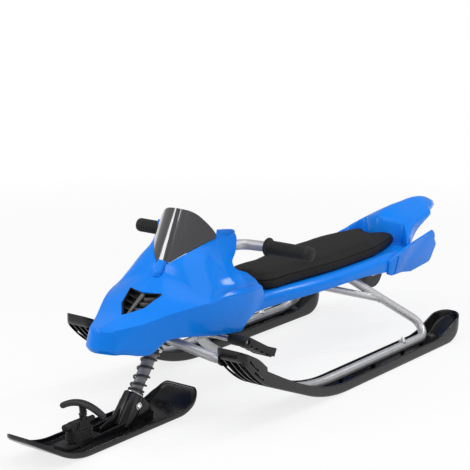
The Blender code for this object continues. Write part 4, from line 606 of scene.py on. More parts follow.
def galvanisedSheet():
    finish = Finish("galvanised sheet")
    cells = finish.node("TexVoronoi", {"feature": "F1"}, {"Vector": finish.place, "Scale": 160.0})
    drift = finish.grain(40.0, 4.0)
    finish.paint(cells.clamp(0.0, 0.9), shade(0.42, 0.43, 0.44), shade(0.30, 0.31, 0.32))
    finish.feed("Metallic", 0.85)
    finish.feed("Roughness", 0.36 + drift * 0.16)
    finish.bump(drift + cells * 0.3, 0.00008, 0.5)
    return finish


def gripRubber():
    finish = Finish("grip rubber", Specular_IOR_Level=0.22, Sheen_Weight=0.04)
    grit = finish.grain(1100.0, 3.0, 0.65)
    drift = finish.grain(30.0, 3.0)
    finish.paint(drift, grey(0.011), grey(0.022))
    finish.feed("Roughness", 0.62 + grit * 0.16)
    finish.bump(grit, 0.00025, 0.7)
    return finish


def padLeather(seam):  # seam is the height of the line round the side
    finish = Finish("seat leather", Specular_IOR_Level=0.14)
    warp = finish.grain(120.0, 3.0)
    settings, inputs = {"operation": "MULTIPLY_ADD"}, {0: finish.place, 1: (1.0, 1.0, 1.0), 2: warp * 0.004}
    bent = finish.node("VectorMath", settings, inputs)
    cells = finish.node("TexVoronoi", {"feature": "DISTANCE_TO_EDGE"}, {"Vector": bent, "Scale": 420.0})
    creases = cells.clamp(0.0, 0.22)
    drift = finish.grain(11.0, 4.0, 0.6)
    fine = finish.grain(1500.0, 3.0)
    # the leather's own dark brown tones, darkened further to paint in the shade the rider casts on the pad
    leatherBrownWithPaintedShade = finish.mix(drift.clamp(0.3, 0.75), shade(0.0090, 0.0082, 0.0082), shade(0.0185, 0.0165, 0.0162))
    beside = (finish.height() - seam).single("ABSOLUTE").clamp(0.0004, 0.0013)
    worn = finish.mix(creases, shade(0.0056, 0.0050, 0.0050), leatherBrownWithPaintedShade)
    finish.paint(beside, shade(0.0030, 0.0028, 0.0027), worn)
    finish.feed("Roughness", 0.50 + drift * 0.12 - creases * 0.06 + fine * 0.05)
    finish.bump(creases * 0.8 + fine * 0.15 + drift * 0.5, 0.00035, 0.75)
    return finish


def springPaint():
    finish = Finish("spring black", Coat_Weight=0.2, Coat_Roughness=0.15)
    drift = finish.grain(80.0, 4.0)
    finish.paint(drift, grey(0.012, 0.013), grey(0.024, 0.026))
    finish.feed("Roughness", 0.26 + drift * 0.18)
    finish.bump(finish.grain(800.0, 2.0), 0.0001, 0.5)
    return finish


def braidedCord():  # two sets of strands that cross, on the cord's own map
    finish = Finish("braided cord", Sheen_Weight=0.25, Specular_IOR_Level=0.25)
    cover = finish.node("UVMap", {"uv_map": "UVMap"})
    split = finish.node("SeparateXYZ", {}, {"Vector": cover}, "X")
    turn = finish.node("SeparateXYZ", {}, {"Vector": cover}, "Y")
    strands = 8.0
    one = ((split * 1.6 + turn) * (strands * math.pi)).single("SINE")
    two = ((split * 1.6 - turn) * (strands * math.pi)).single("SINE")
    weave = one.single("ABSOLUTE") * two.single("ABSOLUTE")
    fibre = finish.grain(2500.0, 3.0)
    finish.paint(weave, grey(0.008, 0.009), grey(0.030, 0.032))
    finish.feed("Roughness", 0.72 + fibre * 0.16)
    finish.bump(weave + fibre * 0.2, 0.0004, 0.9)
    return finish


blue = mouldedBlue()
skiBlack = blackGloss()
grainBlack = blackMatte()
reelGrey = blackMatte("reel grey", 0.040, 0.38)
satinBlack = blackMatte("satin black", 0.012, 0.30)
ventGrey = blackMatte("vent bar grey", 0.110, 0.34)
smoke = smokedScreen()
silver = paintedTube()
chrome = brightMetal("bright chrome", 0.08, 0.80)
zinc = brightMetal("bright zinc", 0.20, 0.62)
strutMetal = brightMetal("strut steel", 0.42, 0.34)
sleeveGrey = blackMatte("sleeve grey", 0.250, 0.30)
galvanised = galvanisedSheet()
rubber = gripRubber()
springBlack = springPaint()
cordBlack = braidedCord()
print("finishes made")


# Cowl

cowl = {
    "nose": 0.240, "end": 0.625, "halfWidth": 0.134, "sill": 0.166,
    "noseRound": 0.016, "lowerCurl": 0.0030, "rows": (44, 34, 32), "sideSteps": 16, "topSteps": 60,
    "humpStation": 0.4222, "humpWidth": 0.0225, "foldDrop": 0.0011, "recess": 0.0012,
    "flareAhead": 0.012, "flareSide": 0.008, "lipLift": 0.005, "ridge": 0.0050, "groove": 0.0032,
    "hollow": [
        (0.350, 0.0), (0.400, -0.04), (0.440, -0.12), (0.466, -0.08), (0.483, 0.12), (0.510, 0.48),
        (0.560, 0.86),
    ],
}
screen = {
    "station": 0.4375, "base": 0.317, "rake": 0.5, "curve": 9.5, "halfWidth": 0.078, "top": 0.421,
    "edgeSlope": 0.75, "baseX": 0.018, "gap": 0.0012, "ridge": 0.0044,
    "ridgeFoot": 0.0090, "ridgeTop": 0.0048, "columns": 72, "rows": 40,
}


def screenEdge(x):  # height of the windshield's lower edge
    return screen["base"] + screen["edgeSlope"] * (abs(x) - screen["baseX"])


def screenStation(x, z):
    return screen["station"] + screen["rake"] * (z - screen["base"]) + screen["curve"] * x * x


splitStation = screenStation(0.0, screenEdge(0.0))
postFront = screenStation(screen["halfWidth"], screenEdge(screen["halfWidth"]))


def cowlHalfWidth(station):
    nose, wide = cowl["nose"], cowl["halfWidth"]
    knots = [
        (0.000, 0.019), (0.007, 0.025), (0.018, 0.032), (0.033, 0.040), (0.064, 0.058), (0.099, 0.078),
        (0.132, 0.096), (0.166, 0.112), (0.210, wide - 0.007), (0.270, wide), (0.330, wide - 0.001),
    ]
    reach = smoothFollow(station, [(nose + d, w) for d, w in knots] + [(cowl["end"], wide - 0.0125)])
    share = min(max((station - nose) / cowl["noseRound"], 0.0), 1.0)
    return reach * math.sqrt(share * (2.0 - share))


def cowlCrease(station):
    nose = cowl["nose"]
    return smoothFollow(station, [
        (nose, 0.218), (nose + 0.064, 0.226), (nose + 0.132, 0.243), (nose + 0.210, 0.253),
        (nose + 0.270, 0.256), (cowl["end"], 0.247),
    ])


def cowlSill(station):
    nose, sill = cowl["nose"], cowl["sill"]
    knots = [
        (0.000, 0.004), (0.030, 0.004), (0.045, 0.0012), (0.066, -0.0044), (0.082, -0.0050),
        (0.091, -0.0025), (0.100, 0.006), (0.110, 0.015), (0.121, 0.0205), (0.155, 0.021),
        (0.222, 0.013), (0.293, 0.005),
    ]
    end = (cowl["end"], sill + 0.003)
    return smoothFollow(station, [(nose + d, sill + lift) for d, lift in knots] + [end])


def hoodHeight(station):
    nose = cowl["nose"]
    return smoothFollow(station, [
        (nose, 0.222), (nose + 0.040, 0.228), (nose + 0.087, 0.239), (nose + 0.142, 0.270),
        (nose + 0.181, 0.2935), (splitStation, screenEdge(0.0)),
    ])


def cowlTopEdge(station):  # half width and height of the edge under the windshield
    if station <= splitStation:
        return 0.0, hoodHeight(station)
    if station <= postFront:
        slope, curve = screen["rake"] * screen["edgeSlope"], screen["curve"]
        x = (math.sqrt(slope**2 + 4 * curve * (station - splitStation)) - slope) / (2 * curve)
        return x, screenEdge(x)
    reach = screen["halfWidth"]
    x = follow(station, [
        (postFront, reach), (postFront + 0.006, reach + 0.004), (cowl["end"], reach + 0.008),
    ])
    z = follow(station, [
        (postFront, screenEdge(reach)), (postFront + 0.003, 0.3795), (0.542, 0.3766), (0.566, 0.372),
        (0.590, 0.366),
    ])
    return x, z


def rearEdge(z):  # station of the rear edge: the lower corner, the shoulder, the notch and the post
    return smoothFollow(z, [
        (0.140, 0.522), (0.171, 0.537), (0.185, 0.5455), (0.194, 0.557), (0.203, 0.583), (0.209, 0.606),
        (0.216, 0.619), (0.225, 0.622), (0.235, 0.6195), (0.246, 0.615), (0.253, 0.612),
        (0.2615, 0.603), (0.271, 0.595), (0.281, 0.5855), (0.288, 0.568), (0.294, 0.555),
        (0.302, 0.550), (0.311, 0.5515), (0.3175, 0.561), (0.325, 0.570), (0.3365, 0.577),
        (0.343, 0.5805), (0.350, 0.583), (0.359, 0.582), (0.367, 0.576), (0.372, 0.566),
        (0.375, 0.555), (0.378, 0.535), (0.390, 0.520),
    ])


def cowlPoint(station, q):
    # q runs from -1 at the sill over 0 at the crease to 1 at the top edge.
    wide, crease, sill = cowlHalfWidth(station), cowlCrease(station), cowlSill(station)
    topX, topZ = cowlTopEdge(station)
    nose = cowl["nose"]
    tuck = 0.004 * ease(station, nose, nose + 0.05)
    if q <= 0.0:
        a = q + 1.0
        curl = cowl["lowerCurl"] * max(0.0, 1.0 - a / 0.16) ** 2 * ease(station, nose, nose + 0.03)
        x = wide - tuck * (1.0 - a) ** 2.3 - curl
        belly = 0.0016 * math.sin(math.pi * a) * ease(station, nose + 0.05, nose + 0.20)
        prow = 1.0 - ease(station, nose, nose + 0.11)  # the prow flares out to a rounded lower lip
        flare = prow * (1.0 - a) ** 0.85 * (0.45 + 0.55 * ease(a, -0.02, 0.24))
        lift = cowl["lipLift"] * (1.0 - ease(station, nose, nose + 0.028)) * (1.0 - a) ** 2
        x += belly + cowl["flareSide"] * flare * ease(station, nose, nose + 0.02)
        return Vector((x, along(station) - cowl["flareAhead"] * flare, sill + (crease - sill) * a + lift))
    postX, postZ = topX, topZ
    split = 1.0 - 0.14 * ease(station, postFront, postFront + 0.012)
    if station > postFront:  # the post stands on the same surface
        topX, topZ = screen["halfWidth"], screenEdge(screen["halfWidth"])
    t = min(q / split, 1.0) ** 1.35
    hollow = smoothFollow(station, cowl["hollow"])
    x = wide - (wide - topX) * t
    crown = 0.45 * t + 0.55 * math.sin(t * math.pi / 2)
    scoop = 0.30 * t + 0.70 * t**3.4
    z = crease + (topZ - crease) * (crown + (scoop - crown) * hollow)
    if q > split:
        up = (q - split) / (1.0 - split)
        x += (postX - topX) * up
        z += (postZ - topZ) * up
    above = z - crease
    rear = ease(station, 0.430, 0.540) * min(1.0, above / 0.003)
    x += rear * (cowl["ridge"] * bell(above, 0.0180, 0.0080) - cowl["groove"] * bell(above, 0.0060, 0.0036))
    if station < splitStation:  # the shallow recess between the vent and the windshield's foot
        reach = follow(station, [(0.380, 0.046), (cowl["humpStation"], 0.011)])
        ends = ease(station, 0.372, 0.385) * (1.0 - ease(station, 0.415, 0.425))
        z -= cowl["recess"] * ease(reach - x, 0.0, 0.004) * ends
    elif station > 0.47:  # the flange along the windshield's opening
        edge = math.hypot(x - postX, z - postZ)
        x -= cowl["foldDrop"] * (1.0 - ease(edge, 0.008, 0.0105)) * ease(station, 0.470, 0.495)
    return Vector((x, along(station), z))


def cowlRearStation(q):
    station = postFront
    while station < cowl["end"] and station < rearEdge(cowlPoint(station, q).z):
        station += 0.00025
    return station


def makeCowl():
    bm = bmesh.new()
    noseRows, screenRows, rearRows = cowl["rows"]
    rows = sum(cowl["rows"])
    sideSteps, topSteps = cowl["sideSteps"], cowl["topSteps"]
    columns = sideSteps + topSteps
    made = bmesh.ops.create_grid(bm, x_segments=columns, y_segments=rows, size=1.0)["verts"]
    ends = {}
    for vert in made:
        column = round((vert.co.x + 1.0) / 2.0 * columns)
        row = round((vert.co.y + 1.0) / 2.0 * rows)
        q = (column - sideSteps) / (sideSteps if column < sideSteps else topSteps)
        if q not in ends:
            ends[q] = cowlRearStation(q)
        if row <= noseRows:
            share = row / noseRows  # the rows are closer together at the nose
            share = 0.65 * share + 0.35 * share**2.6
            station = cowl["nose"] + (splitStation - cowl["nose"]) * share
        elif row <= noseRows + screenRows:
            station = splitStation + (postFront - splitStation) * (row - noseRows) / screenRows
        else:
            station = postFront + (ends[q] - postFront) * (row - noseRows - screenRows) / rearRows
        vert.co = cowlPoint(station, q)
    other = bmesh.ops.duplicate(bm, geom=everything(bm))
    bmesh.ops.scale(bm, vec=(-1.0, 1.0, 1.0), verts=madeVerts(other))
    bmesh.ops.remove_doubles(bm, verts=bm.verts, dist=0.00004)
    bmesh.ops.dissolve_degenerate(bm, edges=bm.edges, dist=0.00002)
    giveWall(bm, sled["sheet"])
    piece = finishPiece("cowlShell", bm, blue, "frame", ("cowl",), angle=58.0)
    nub = bmesh.new()
    hump = cowl["humpStation"]
    foot = hoodHeight(hump) - 0.005
    path = roundedPath([
        (0.0, along(hump - 0.001), foot + 0.001), (0.0, along(hump + 0.002), foot + 0.008),
        (0.0, along(hump + 0.0185), foot + 0.0285),
    ], [0.010])
    sweep(nub, evenPath(path, 0.002), cowl["humpWidth"] / 2, 40, (1.0, 0.0, 0.0), shape=lambda t: (
        0.84 + 0.16 * ease(t, 0.0, 0.25), 0.52 + 0.22 * ease(t, 0.0, 0.3)
    ))
    carve(piece, nub, 50.0, "UNION")
    cut = bmesh.new()
    plate(cut, roundedOutline(ventOutline(0.0), 0.0022), ventMatrix(), -0.04, 0.03)
    carve(piece, cut, 50.0)


# Vent

vent = {
    "station": 0.351, "length": 0.083, "halfWidth": 0.042, "slope": math.radians(31.0), "depth": 0.016,
    "lip": 0.0045, "louvres": 4, "barRear": 0.0052, "barFront": 0.0026,
}


def ventOutline(inset):
    half, length = vent["halfWidth"] - inset, vent["length"] / 2
    return [
        (0.0, length - 0.010 - inset), (half, length - inset), (half * 0.74, -length * 0.12 + inset),
        (0.0, -length + inset * 1.6), (-half * 0.74, -length * 0.12 + inset), (-half, length - inset),
    ]


def ventMatrix():
    spot = Vector((0.0, along(vent["station"]), hoodHeight(vent["station"])))
    return Matrix.Translation(spot) @ Matrix.Rotation(vent["slope"], 4, "X")


def makeVent():
    bm = bmesh.new()
    matrix = ventMatrix()
    top = -vent["lip"]
    floor = top - vent["depth"]
    outer, inner = (roundedOutline(ventOutline(inset), 0.002) for inset in (sled["gap"], 0.0026))
    plate(bm, outer, matrix, floor, floor + 0.003)
    for i, (low, high) in enumerate(zip(outer, outer[1:] + outer[:1])):
        plate(bm, [low, high, inner[(i + 1) % len(inner)], inner[i]], matrix, floor + 0.002, top)
    length = vent["length"]
    up = Vector((0, 0, 1))
    slatWide, slatThick = 0.0045, 0.0008
    widths = [(-length / 2, 0.006), (-length * 0.12, 0.031), (length / 2, 0.044)]
    for side in (-1, 1):
        for i in range(vent["louvres"]):
            back = length * (0.34 - 0.205 * i)
            reach = follow(back, widths) - 0.001
            start = Vector((0.0, back - 0.010 if i == 0 else back - 0.006, 0.0))
            end = Vector((side * reach, back, 0.0))
            heading = (end - start).normalized()
            slatFrame = Matrix((heading, up.cross(heading), up)).transposed().to_4x4()
            slat = matrix @ Matrix.Translation(start + Vector((0, 0, top - 0.0060))) @ slatFrame
            slat = slat @ Matrix.Rotation(math.radians(38.0), 4, "X")
            run = (end - start).length
            corners = [(0.0, -slatWide), (run, -slatWide), (run, slatWide), (0.0, slatWide)]
            verts = plate(bm, corners, slat, -slatThick, slatThick)
            bevelEdges(bm, edgesOf(verts), 0.0004)
    finishPiece("ventGrille", bm, satinBlack, "frame", ("vent_insert",))
    path = [matrix @ Vector((0.0, y, top - 0.004 + lift)) for y, lift in (
        (-length / 2 + 0.006, 0.0), (-length * 0.2, 0.0016), (length * 0.1, 0.0022),
        (length / 2 - 0.013, 0.0022),
    )]
    front, rear = vent["barFront"], vent["barRear"]
    sweptPiece(
        "ventBar", evenPath(path, 0.004), 1.0, 24, ventGrey, "frame", slot="vent_insert", angle=35.0,
        side=(1.0, 0.0, 0.0), shape=lambda t: (front + (rear - front) * t, 0.0028 + 0.0012 * t),
    )


makeCowl()
makeVent()
print("cowl and vent made")


# Windshield

def screenTop(x):
    top = screen["top"] - 0.0009
    return smoothFollow(abs(x), [
        (0.0, top), (0.015, top - 0.001), (0.030, top - 0.004), (0.045, top - 0.012), (0.060, top - 0.0265),
        (0.070, top - 0.039), (screen["halfWidth"], top - 0.052),
    ])


def makeScreen():
    bm = bmesh.new()
    columns, rows = screen["columns"], screen["rows"]
    reach = screen["halfWidth"] - screen["gap"]
    for vert in bmesh.ops.create_grid(bm, x_segments=columns, y_segments=rows, size=1.0)["verts"]:
        across = vert.co.x
        x = reach * (0.55 * across + 0.45 * across * abs(across))
        low = max(screenEdge(x), screen["base"]) + screen["gap"] * 1.5
        share = (vert.co.y + 1.0) / 2.0
        z = low + (screenTop(x) - low) * share
        ridgeHalf = screen["ridgeFoot"] + (screen["ridgeTop"] - screen["ridgeFoot"]) * share
        ridge = screen["ridge"] * (1.0 - ease(abs(x), ridgeHalf - 0.0026, ridgeHalf + 0.0026))
        ridge *= 1.0 - 0.05 * (x / ridgeHalf) ** 2 if abs(x) < ridgeHalf else 1.0
        vert.co = (x, along(screenStation(x, z)) - ridge, z + ridge * 0.25)
    giveWall(bm, sled["sheet"], (0.0, -1.0, 0.4), proud=0.0006)
    highest = max(vert.co.z for vert in bm.verts) - screen["top"] + 0.0001
    for vert in bm.verts:
        vert.co.z -= max(0.0, highest) * ease(vert.co.z, 0.36, 0.42)
    finishPiece("windshieldPane", bm, smoke, "frame", ("windshield",), angle=55.0)


makeScreen()
print("windshield made")


# Seat shell and tail

seat = {
    "start": 0.613, "end": 1.5206, "halfWidth": 0.102, "sill": 0.172, "lip": 1.247,
    "tailHeight": 0.289, "lipReach": 0.020, "sideSteps": 12, "topSteps": 40, "edgeRound": 0.0035,
}


def seatHalfWidth(station):
    wide = seat["halfWidth"]
    return smoothFollow(station, [
        (seat["start"], wide - 0.030), (0.733, wide - 0.026), (0.883, wide - 0.007), (1.033, wide),
        (1.183, wide), (1.238, wide - 0.003), (1.262, wide - 0.010), (1.285, wide - 0.021),
        (1.313, wide - 0.031), (1.343, wide - 0.038), (1.383, wide - 0.043), (1.424, wide - 0.050),
        (1.434, wide - 0.060), (1.473, wide - 0.074), (1.505, wide - 0.088), (seat["end"], wide - 0.096),
    ])


def seatSill(station):
    sill = seat["sill"]
    return smoothFollow(station, [
        (seat["start"], sill), (1.033, sill + 0.003), (1.183, sill - 0.006), (1.243, sill + 0.012),
        (1.283, sill + 0.030), (1.313, sill + 0.042), (1.343, sill + 0.055), (1.383, sill + 0.068),
        (1.433, sill + 0.079), (seat["end"], sill + 0.085),
    ])


def tailRidge(station):
    top = seat["tailHeight"]
    return smoothFollow(station, [
        (seat["lip"], top - 0.025), (1.300, top - 0.006), (1.383, top - 0.001), (1.428, top),
        (1.473, top - 0.006), (1.505, top - 0.018), (seat["end"], top - 0.028),
    ])


def lipShift(share):  # the lip runs back round the pad's corners, then forward along its sides
    return smoothFollow(share, [
        (0.0, 0.0), (0.20, 0.0036), (0.39, 0.0144), (0.55, 0.0270), (0.66, 0.0230), (0.78, 0.0115),
        (0.89, 0.0035), (1.0, 0.001),
    ])


def lipBow(base):  # how far a row bends back with the lip
    return smoothFollow(base, [
        (1.080, 0.0), (1.120, 0.2), (1.180, 0.5), (1.215, 0.8), (1.237, 1.0), (1.262, 1.0), (1.278, 0.9),
        (1.296, 0.7), (1.318, 0.45), (1.342, 0.25), (1.370, 0.1), (1.400, 0.0),
    ])


def seatHeight(x, station, raised):  # the deck, the tail's roof, or the lip's wall between them
    edge = min(abs(x) / seatHalfWidth(station), 1.0)
    deck = sled["deckHeight"] - 0.010 * max(0.0, (edge - 0.8) / 0.2) ** 2
    if raised <= 0.0:
        return deck
    slope = 0.38 + 0.16 * ease(station, 1.235, 1.310)
    roof = tailRidge(station) - slope * (math.sqrt(x * x + 0.000036) - 0.006) - 0.004 * edge**6
    return deck + (roof - deck) * raised


def seatRows():
    lip = seat["lip"]
    rows = [(station, 0.0) for station in spread(seat["start"], lip - 0.012, 74)]
    rows += [(lip - 0.007, 0.0), (lip - 0.003, 0.0), (lip - 0.0010, 0.0)]
    reach = seat["lipReach"]
    for step in range(1, 19):  # a wall that leans back and rounds over into the roof
        run = reach * (step / 18) ** 1.35
        rows.append((lip + run, 1.0 - (1.0 - run / reach) ** 3.4))
    return rows + [(station, 1.0) for station in spread(lip + reach + 0.004, seat["end"], 74)]


def makeSeatShell():
    bm = bmesh.new()
    rows = seatRows()
    sideSteps, topSteps = seat["sideSteps"], seat["topSteps"]
    half = sideSteps + topSteps
    made = bmesh.ops.create_grid(bm, x_segments=2 * half, y_segments=len(rows) - 1, size=1.0)["verts"]
    for vert in made:
        column = round(vert.co.x * half)
        base, raised = rows[round((vert.co.y + 1.0) / 2.0 * (len(rows) - 1))]
        side, step = (1 if column >= 0 else -1), half - abs(column)
        bow = lipBow(base)
        edgeStation = base + bow * lipShift(1.0)
        wide = seatHalfWidth(edgeStation)
        if step < sideSteps:
            share = step / sideSteps
            top = seatHeight(wide, edgeStation, raised) - 0.001
            low = min(seatSill(edgeStation), top - 0.003)
            z = low + (top - low) * share
            rounding = seat["edgeRound"] * (max(0.0, share - 0.72) / 0.28) ** 2
            tuck = 0.0022 * max(0.0, 1 - share / 0.2) ** 2
            vert.co = (side * (wide - rounding * 0.5 - tuck), along(edgeStation), z)
        else:
            share = (step - sideSteps) / topSteps
            spacing = 0.6 * (1.0 - share) + 0.4 * math.cos(math.pi / 2 * share)
            x = (wide - seat["edgeRound"] * 0.5) * spacing
            station = base + bow * lipShift(x / wide)
            z = seatHeight(x, station, raised)
            groove = ease(station, 1.262, 1.30) * (1 - ease(station, 1.36, 1.45))
            z -= 0.0012 * groove * bell(abs(x), wide * 0.80, 0.004)
            vert.co = (side * x, along(station), z - 0.001 * (1.0 - min(1.0, share * 8)))
    giveWall(bm, sled["sheet"], proud=0.0005)
    finishPiece("seatShell", bm, blue, "frame", ("seat_shell",), angle=52.0)


fin = {
    "start": 1.140, "length": 0.224, "thick": 0.0075, "bevel": 0.0022, "grooveWide": 0.006,
    "grooveDeep": 0.0022, "foldDrop": 0.0016,
}


def finOutline():
    start, sill = fin["start"], seat["sill"]
    end = start + fin["length"]
    corners = [
        (start, sill - 0.010), (start + 0.016, sill - 0.016), (start + 0.068, sill - 0.018),
        (start + 0.105, sill - 0.024), (end - 0.030, sill - 0.016), (end, sill + 0.022),
        (end - 0.008, sill + 0.036), (end - 0.007, sill + 0.049), (end - 0.018, sill + 0.061),
        (start + 0.103, sill + 0.045), (start + 0.040, sill + 0.032), (start + 0.004, sill + 0.022),
    ]
    radii = [0.004, 0.01, 0.03, 0.02, 0.02, 0.008, 0.006, 0.008, 0.006, 0.02, 0.02, 0.005]
    return roundedOutline(corners, radii)


def makeFins():
    start, sill = fin["start"], seat["sill"]
    # A fold runs back from the groove to the upper corner, with the part below it set in.
    foldPlane = Vector((0.0, -0.62, 0.78)).normalized()
    foldSpot = Vector((0.0, along(start + 0.060), sill - 0.004))
    sharp = math.radians(50.0)
    for word, side in sides:
        inner = side * (seat["halfWidth"] - sled["sheet"] * 0.8)
        outer = inner + side * fin["thick"]
        bm = bmesh.new()
        sidePlate(bm, finOutline(), min(inner, outer), max(inner, outer))
        for offset in (0.0, 0.0022):
            spot = foldSpot + foldPlane * offset
            bmesh.ops.bisect_plane(bm, geom=everything(bm), plane_co=spot, plane_no=foldPlane)
        for vert in bm.verts:
            below = foldPlane.dot(vert.co - foldSpot) < 0.0005
            if below and abs(vert.co.x - outer) < 1e-5:
                vert.co.x -= side * fin["foldDrop"]
        bm.normal_update()
        edges = [e for e in bm.edges if len(e.link_faces) == 2 and e.calc_face_angle() > sharp]
        bevelEdges(bm, edges, fin["bevel"], 3)
        piece = finishPiece("tailFin_" + word, bm, blue, "frame", angle=38.0)
        cut = bmesh.new()
        wide = fin["grooveWide"]
        groove = [
            (start + 0.016, sill - 0.030), (start + 0.016 + wide, sill - 0.030),
            (start + 0.041 + wide, sill + 0.027), (start + 0.041, sill + 0.027),
        ]
        face = outer - side * fin["grooveDeep"]
        low, high = sorted((face, face + side * 0.01))
        sidePlate(cut, roundedOutline(groove, 0.0025), low, high)
        carve(piece, cut, 38.0)


makeSeatShell()
makeFins()
print("seat shell and tail made")


# Seat pad

pad = {
    "voxel": 0.005, "start": 0.0016, "pressure": 4.0, "frames": 20, "cap": 0.0034, "fill": 0.7,
    "seamHeight": 0.0205, "seamDeep": 0.0021, "seamWide": 0.0016, "crown": 0.0020, "smooth": 180.0,
}
leather = padLeather(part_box("seat_pad")[0].z + pad["seamHeight"])


def makePad():
    low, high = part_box("seat_pad")
    bm = bmesh.new()
    bm.from_mesh(frame["nodes"]["seat_pad"].data)
    bmesh.ops.remove_doubles(bm, verts=bm.verts, dist=1e-6)
    middle = (low + high) / 2
    for vert in bm.verts:  # starts a little small, because the filling swells it
        for axis in (0, 1):
            half = (high[axis] - low[axis]) / 2
            vert.co[axis] = middle[axis] + (vert.co[axis] - middle[axis]) * (half - pad["start"]) / half
    piece = finishPiece("seatPad", bm, leather, "frame", ("seat_pad",), angle=60.0)
    fill = piece.modifiers.new("voxels", "REMESH")
    fill.mode = "VOXEL"
    fill.voxel_size = pad["voxel"]
    fill.use_smooth_shade = True
    bake(piece, pad["smooth"])
    rest = [vert.co.copy() for vert in piece.data.vertices]
    held = piece.vertex_groups.new(name="held")
    held.add([i for i, co in enumerate(rest) if co.z < low.z + 0.0025], 1.0, "REPLACE")
    cloth = piece.modifiers.new("fill", "CLOTH")
    cloth.settings.use_pressure = True
    cloth.settings.uniform_pressure_force = pad["pressure"]
    cloth.settings.effector_weights.gravity = 0.0
    cloth.settings.vertex_group_mass = held.name
    cloth.settings.quality = 6
    cloth.point_cache.frame_start, cloth.point_cache.frame_end = 1, pad["frames"]
    scene.frame_start, scene.frame_end = 1, pad["frames"]
    for number in range(1, pad["frames"] + 1):
        scene.frame_set(number)
    bake(piece, pad["smooth"])
    scene.frame_set(1)
    for vert, start in zip(piece.data.vertices, rest):
        move = vert.co - start
        if move.length > pad["cap"]:
            vert.co = start + move.normalized() * pad["cap"]
    soften = piece.modifiers.new("soften", "SMOOTH")
    soften.factor, soften.iterations = 0.5, 6
    smooth = piece.modifiers.new("smooth", "SUBSURF")
    smooth.levels = smooth.render_levels = 1
    bake(piece, pad["smooth"])
    bm = bmesh.new()
    bm.from_mesh(piece.data)
    height, wide = low.z + pad["seamHeight"], pad["seamWide"]
    for offset in (-2.0, -1.2, -0.5, 0.0, 0.5, 1.2, 2.0):
        bmesh.ops.bisect_plane(
            bm, geom=everything(bm), plane_co=(0, 0, height + wide * offset),
            plane_no=(0, 0, 1),
        )
    bm.normal_update()
    moves = []
    for vert in bm.verts:
        steep = 1.0 - abs(vert.normal.z)
        welt = 0.0007 * bell(vert.co.z, height + wide * 1.6, wide * 0.8)
        seam = welt - pad["seamDeep"] * bell(vert.co.z, height, wide * 0.55)
        crown = pad["crown"] * max(0.0, vert.normal.z) * (1.0 - min(1.0, abs(vert.co.x) / 0.09) ** 2)
        way = Vector((vert.normal.x, vert.normal.y, 0.25 * vert.normal.z))
        moves.append(way * seam * min(1.0, steep * 2.2))
        moves[-1].z += crown
    for vert, move in zip(bm.verts, moves):
        vert.co += move
        vert.co.z = max(vert.co.z, low.z)
    bm.to_mesh(piece.data)
    bm.free()
    piece.data.shade_smooth()


makePad()
print("seat pad made")


# Skis

frontSki = {
    "tip": 0.022, "end": 0.497, "width": 0.114, "soleStart": 0.160, "soleEnd": 0.425,
    "noseAngle": math.radians(31.0), "noseRadius": 0.160, "tailAngle": math.radians(46.0),
    "tailRadius": 0.086, "floor": 0.005, "wall": 0.0045, "rim": 0.014, "tipRim": 0.011,
    "towerTop": 0.075, "towerRadius": 0.0215, "towerFoot": 0.026, "strutRadius": 0.009,
    "ribStart": 0.165, "ribSpread": 0.0195,
}
rearSki = {
    "width": 0.072, "noseTip": 0.398, "noseEnd": 0.478, "corner": 0.016, "step": 0.009, "roof": 0.006,
    "ribs": 3, "rib": 0.0024, "soleStart": 0.775, "soleEnd": 1.205, "end": 1.278, "slope": 0.406,
    "noseRadius": 0.400, "curlStart": 0.500, "curl": 3.8, "tailRadius": 0.060, "floor": 0.005,
    "wall": 0.004, "rim": 0.0235, "tailRim": 0.062, "armStation": 0.425, "armHeight": 0.1455,
    "boss": 0.0025, "bossRadius": 0.0125,
}


def turnedUp(distance, radius, slope):
    angle = math.atan(slope)
    if distance <= 0.0:
        return 0.0
    if distance < radius * math.sin(angle):
        return radius - math.sqrt(radius**2 - distance**2)
    return radius * (1 - math.cos(angle)) + (distance - radius * math.sin(angle)) * slope


def roundedEnd(distance, halfWidth, reach, least):
    share = min(max(distance / reach, 0.0), 1.0)
    return least + (halfWidth - least) * math.sqrt(max(0.0, 1.0 - (1.0 - share) ** 2))


def frontSole(station):
    ski = frontSki
    nose = turnedUp(ski["soleStart"] - station, ski["noseRadius"], math.tan(ski["noseAngle"]))
    return nose + turnedUp(station - ski["soleEnd"], ski["tailRadius"], math.tan(ski["tailAngle"]))


def frontHalfWidth(station):
    ski = frontSki
    nose = roundedEnd(station - ski["tip"], ski["width"] / 2, 0.056, 0.020)
    return min(nose, roundedEnd(ski["end"] - station, ski["width"] / 2, 0.034, 0.034))


def frontRim(station):
    return smoothFollow(station, [
        (frontSki["tip"], frontSki["tipRim"]), (0.065, 0.0115), (0.130, frontSki["rim"]),
        (0.430, frontSki["rim"]), (0.462, frontSki["rim"]), (0.480, 0.0095), (frontSki["end"], 0.0075),
    ])


def rearSole(station):
    ski = rearSki
    nose = turnedUp(ski["soleStart"] - station, ski["noseRadius"], ski["slope"])
    curl = ski["curl"] * max(0.0, ski["curlStart"] - station) ** 2
    return nose + curl + turnedUp(station - ski["soleEnd"], ski["tailRadius"], 1.0)


def rearHalfWidth(station):
    ski = rearSki
    inward = max(0.0, ski["noseTip"] + ski["corner"] - station)
    nose = ski["width"] / 2 - ski["corner"] + math.sqrt(max(0.0, ski["corner"] ** 2 - inward**2))
    return min(nose, roundedEnd(ski["end"] - station, ski["width"] / 2, 0.040, 0.005))


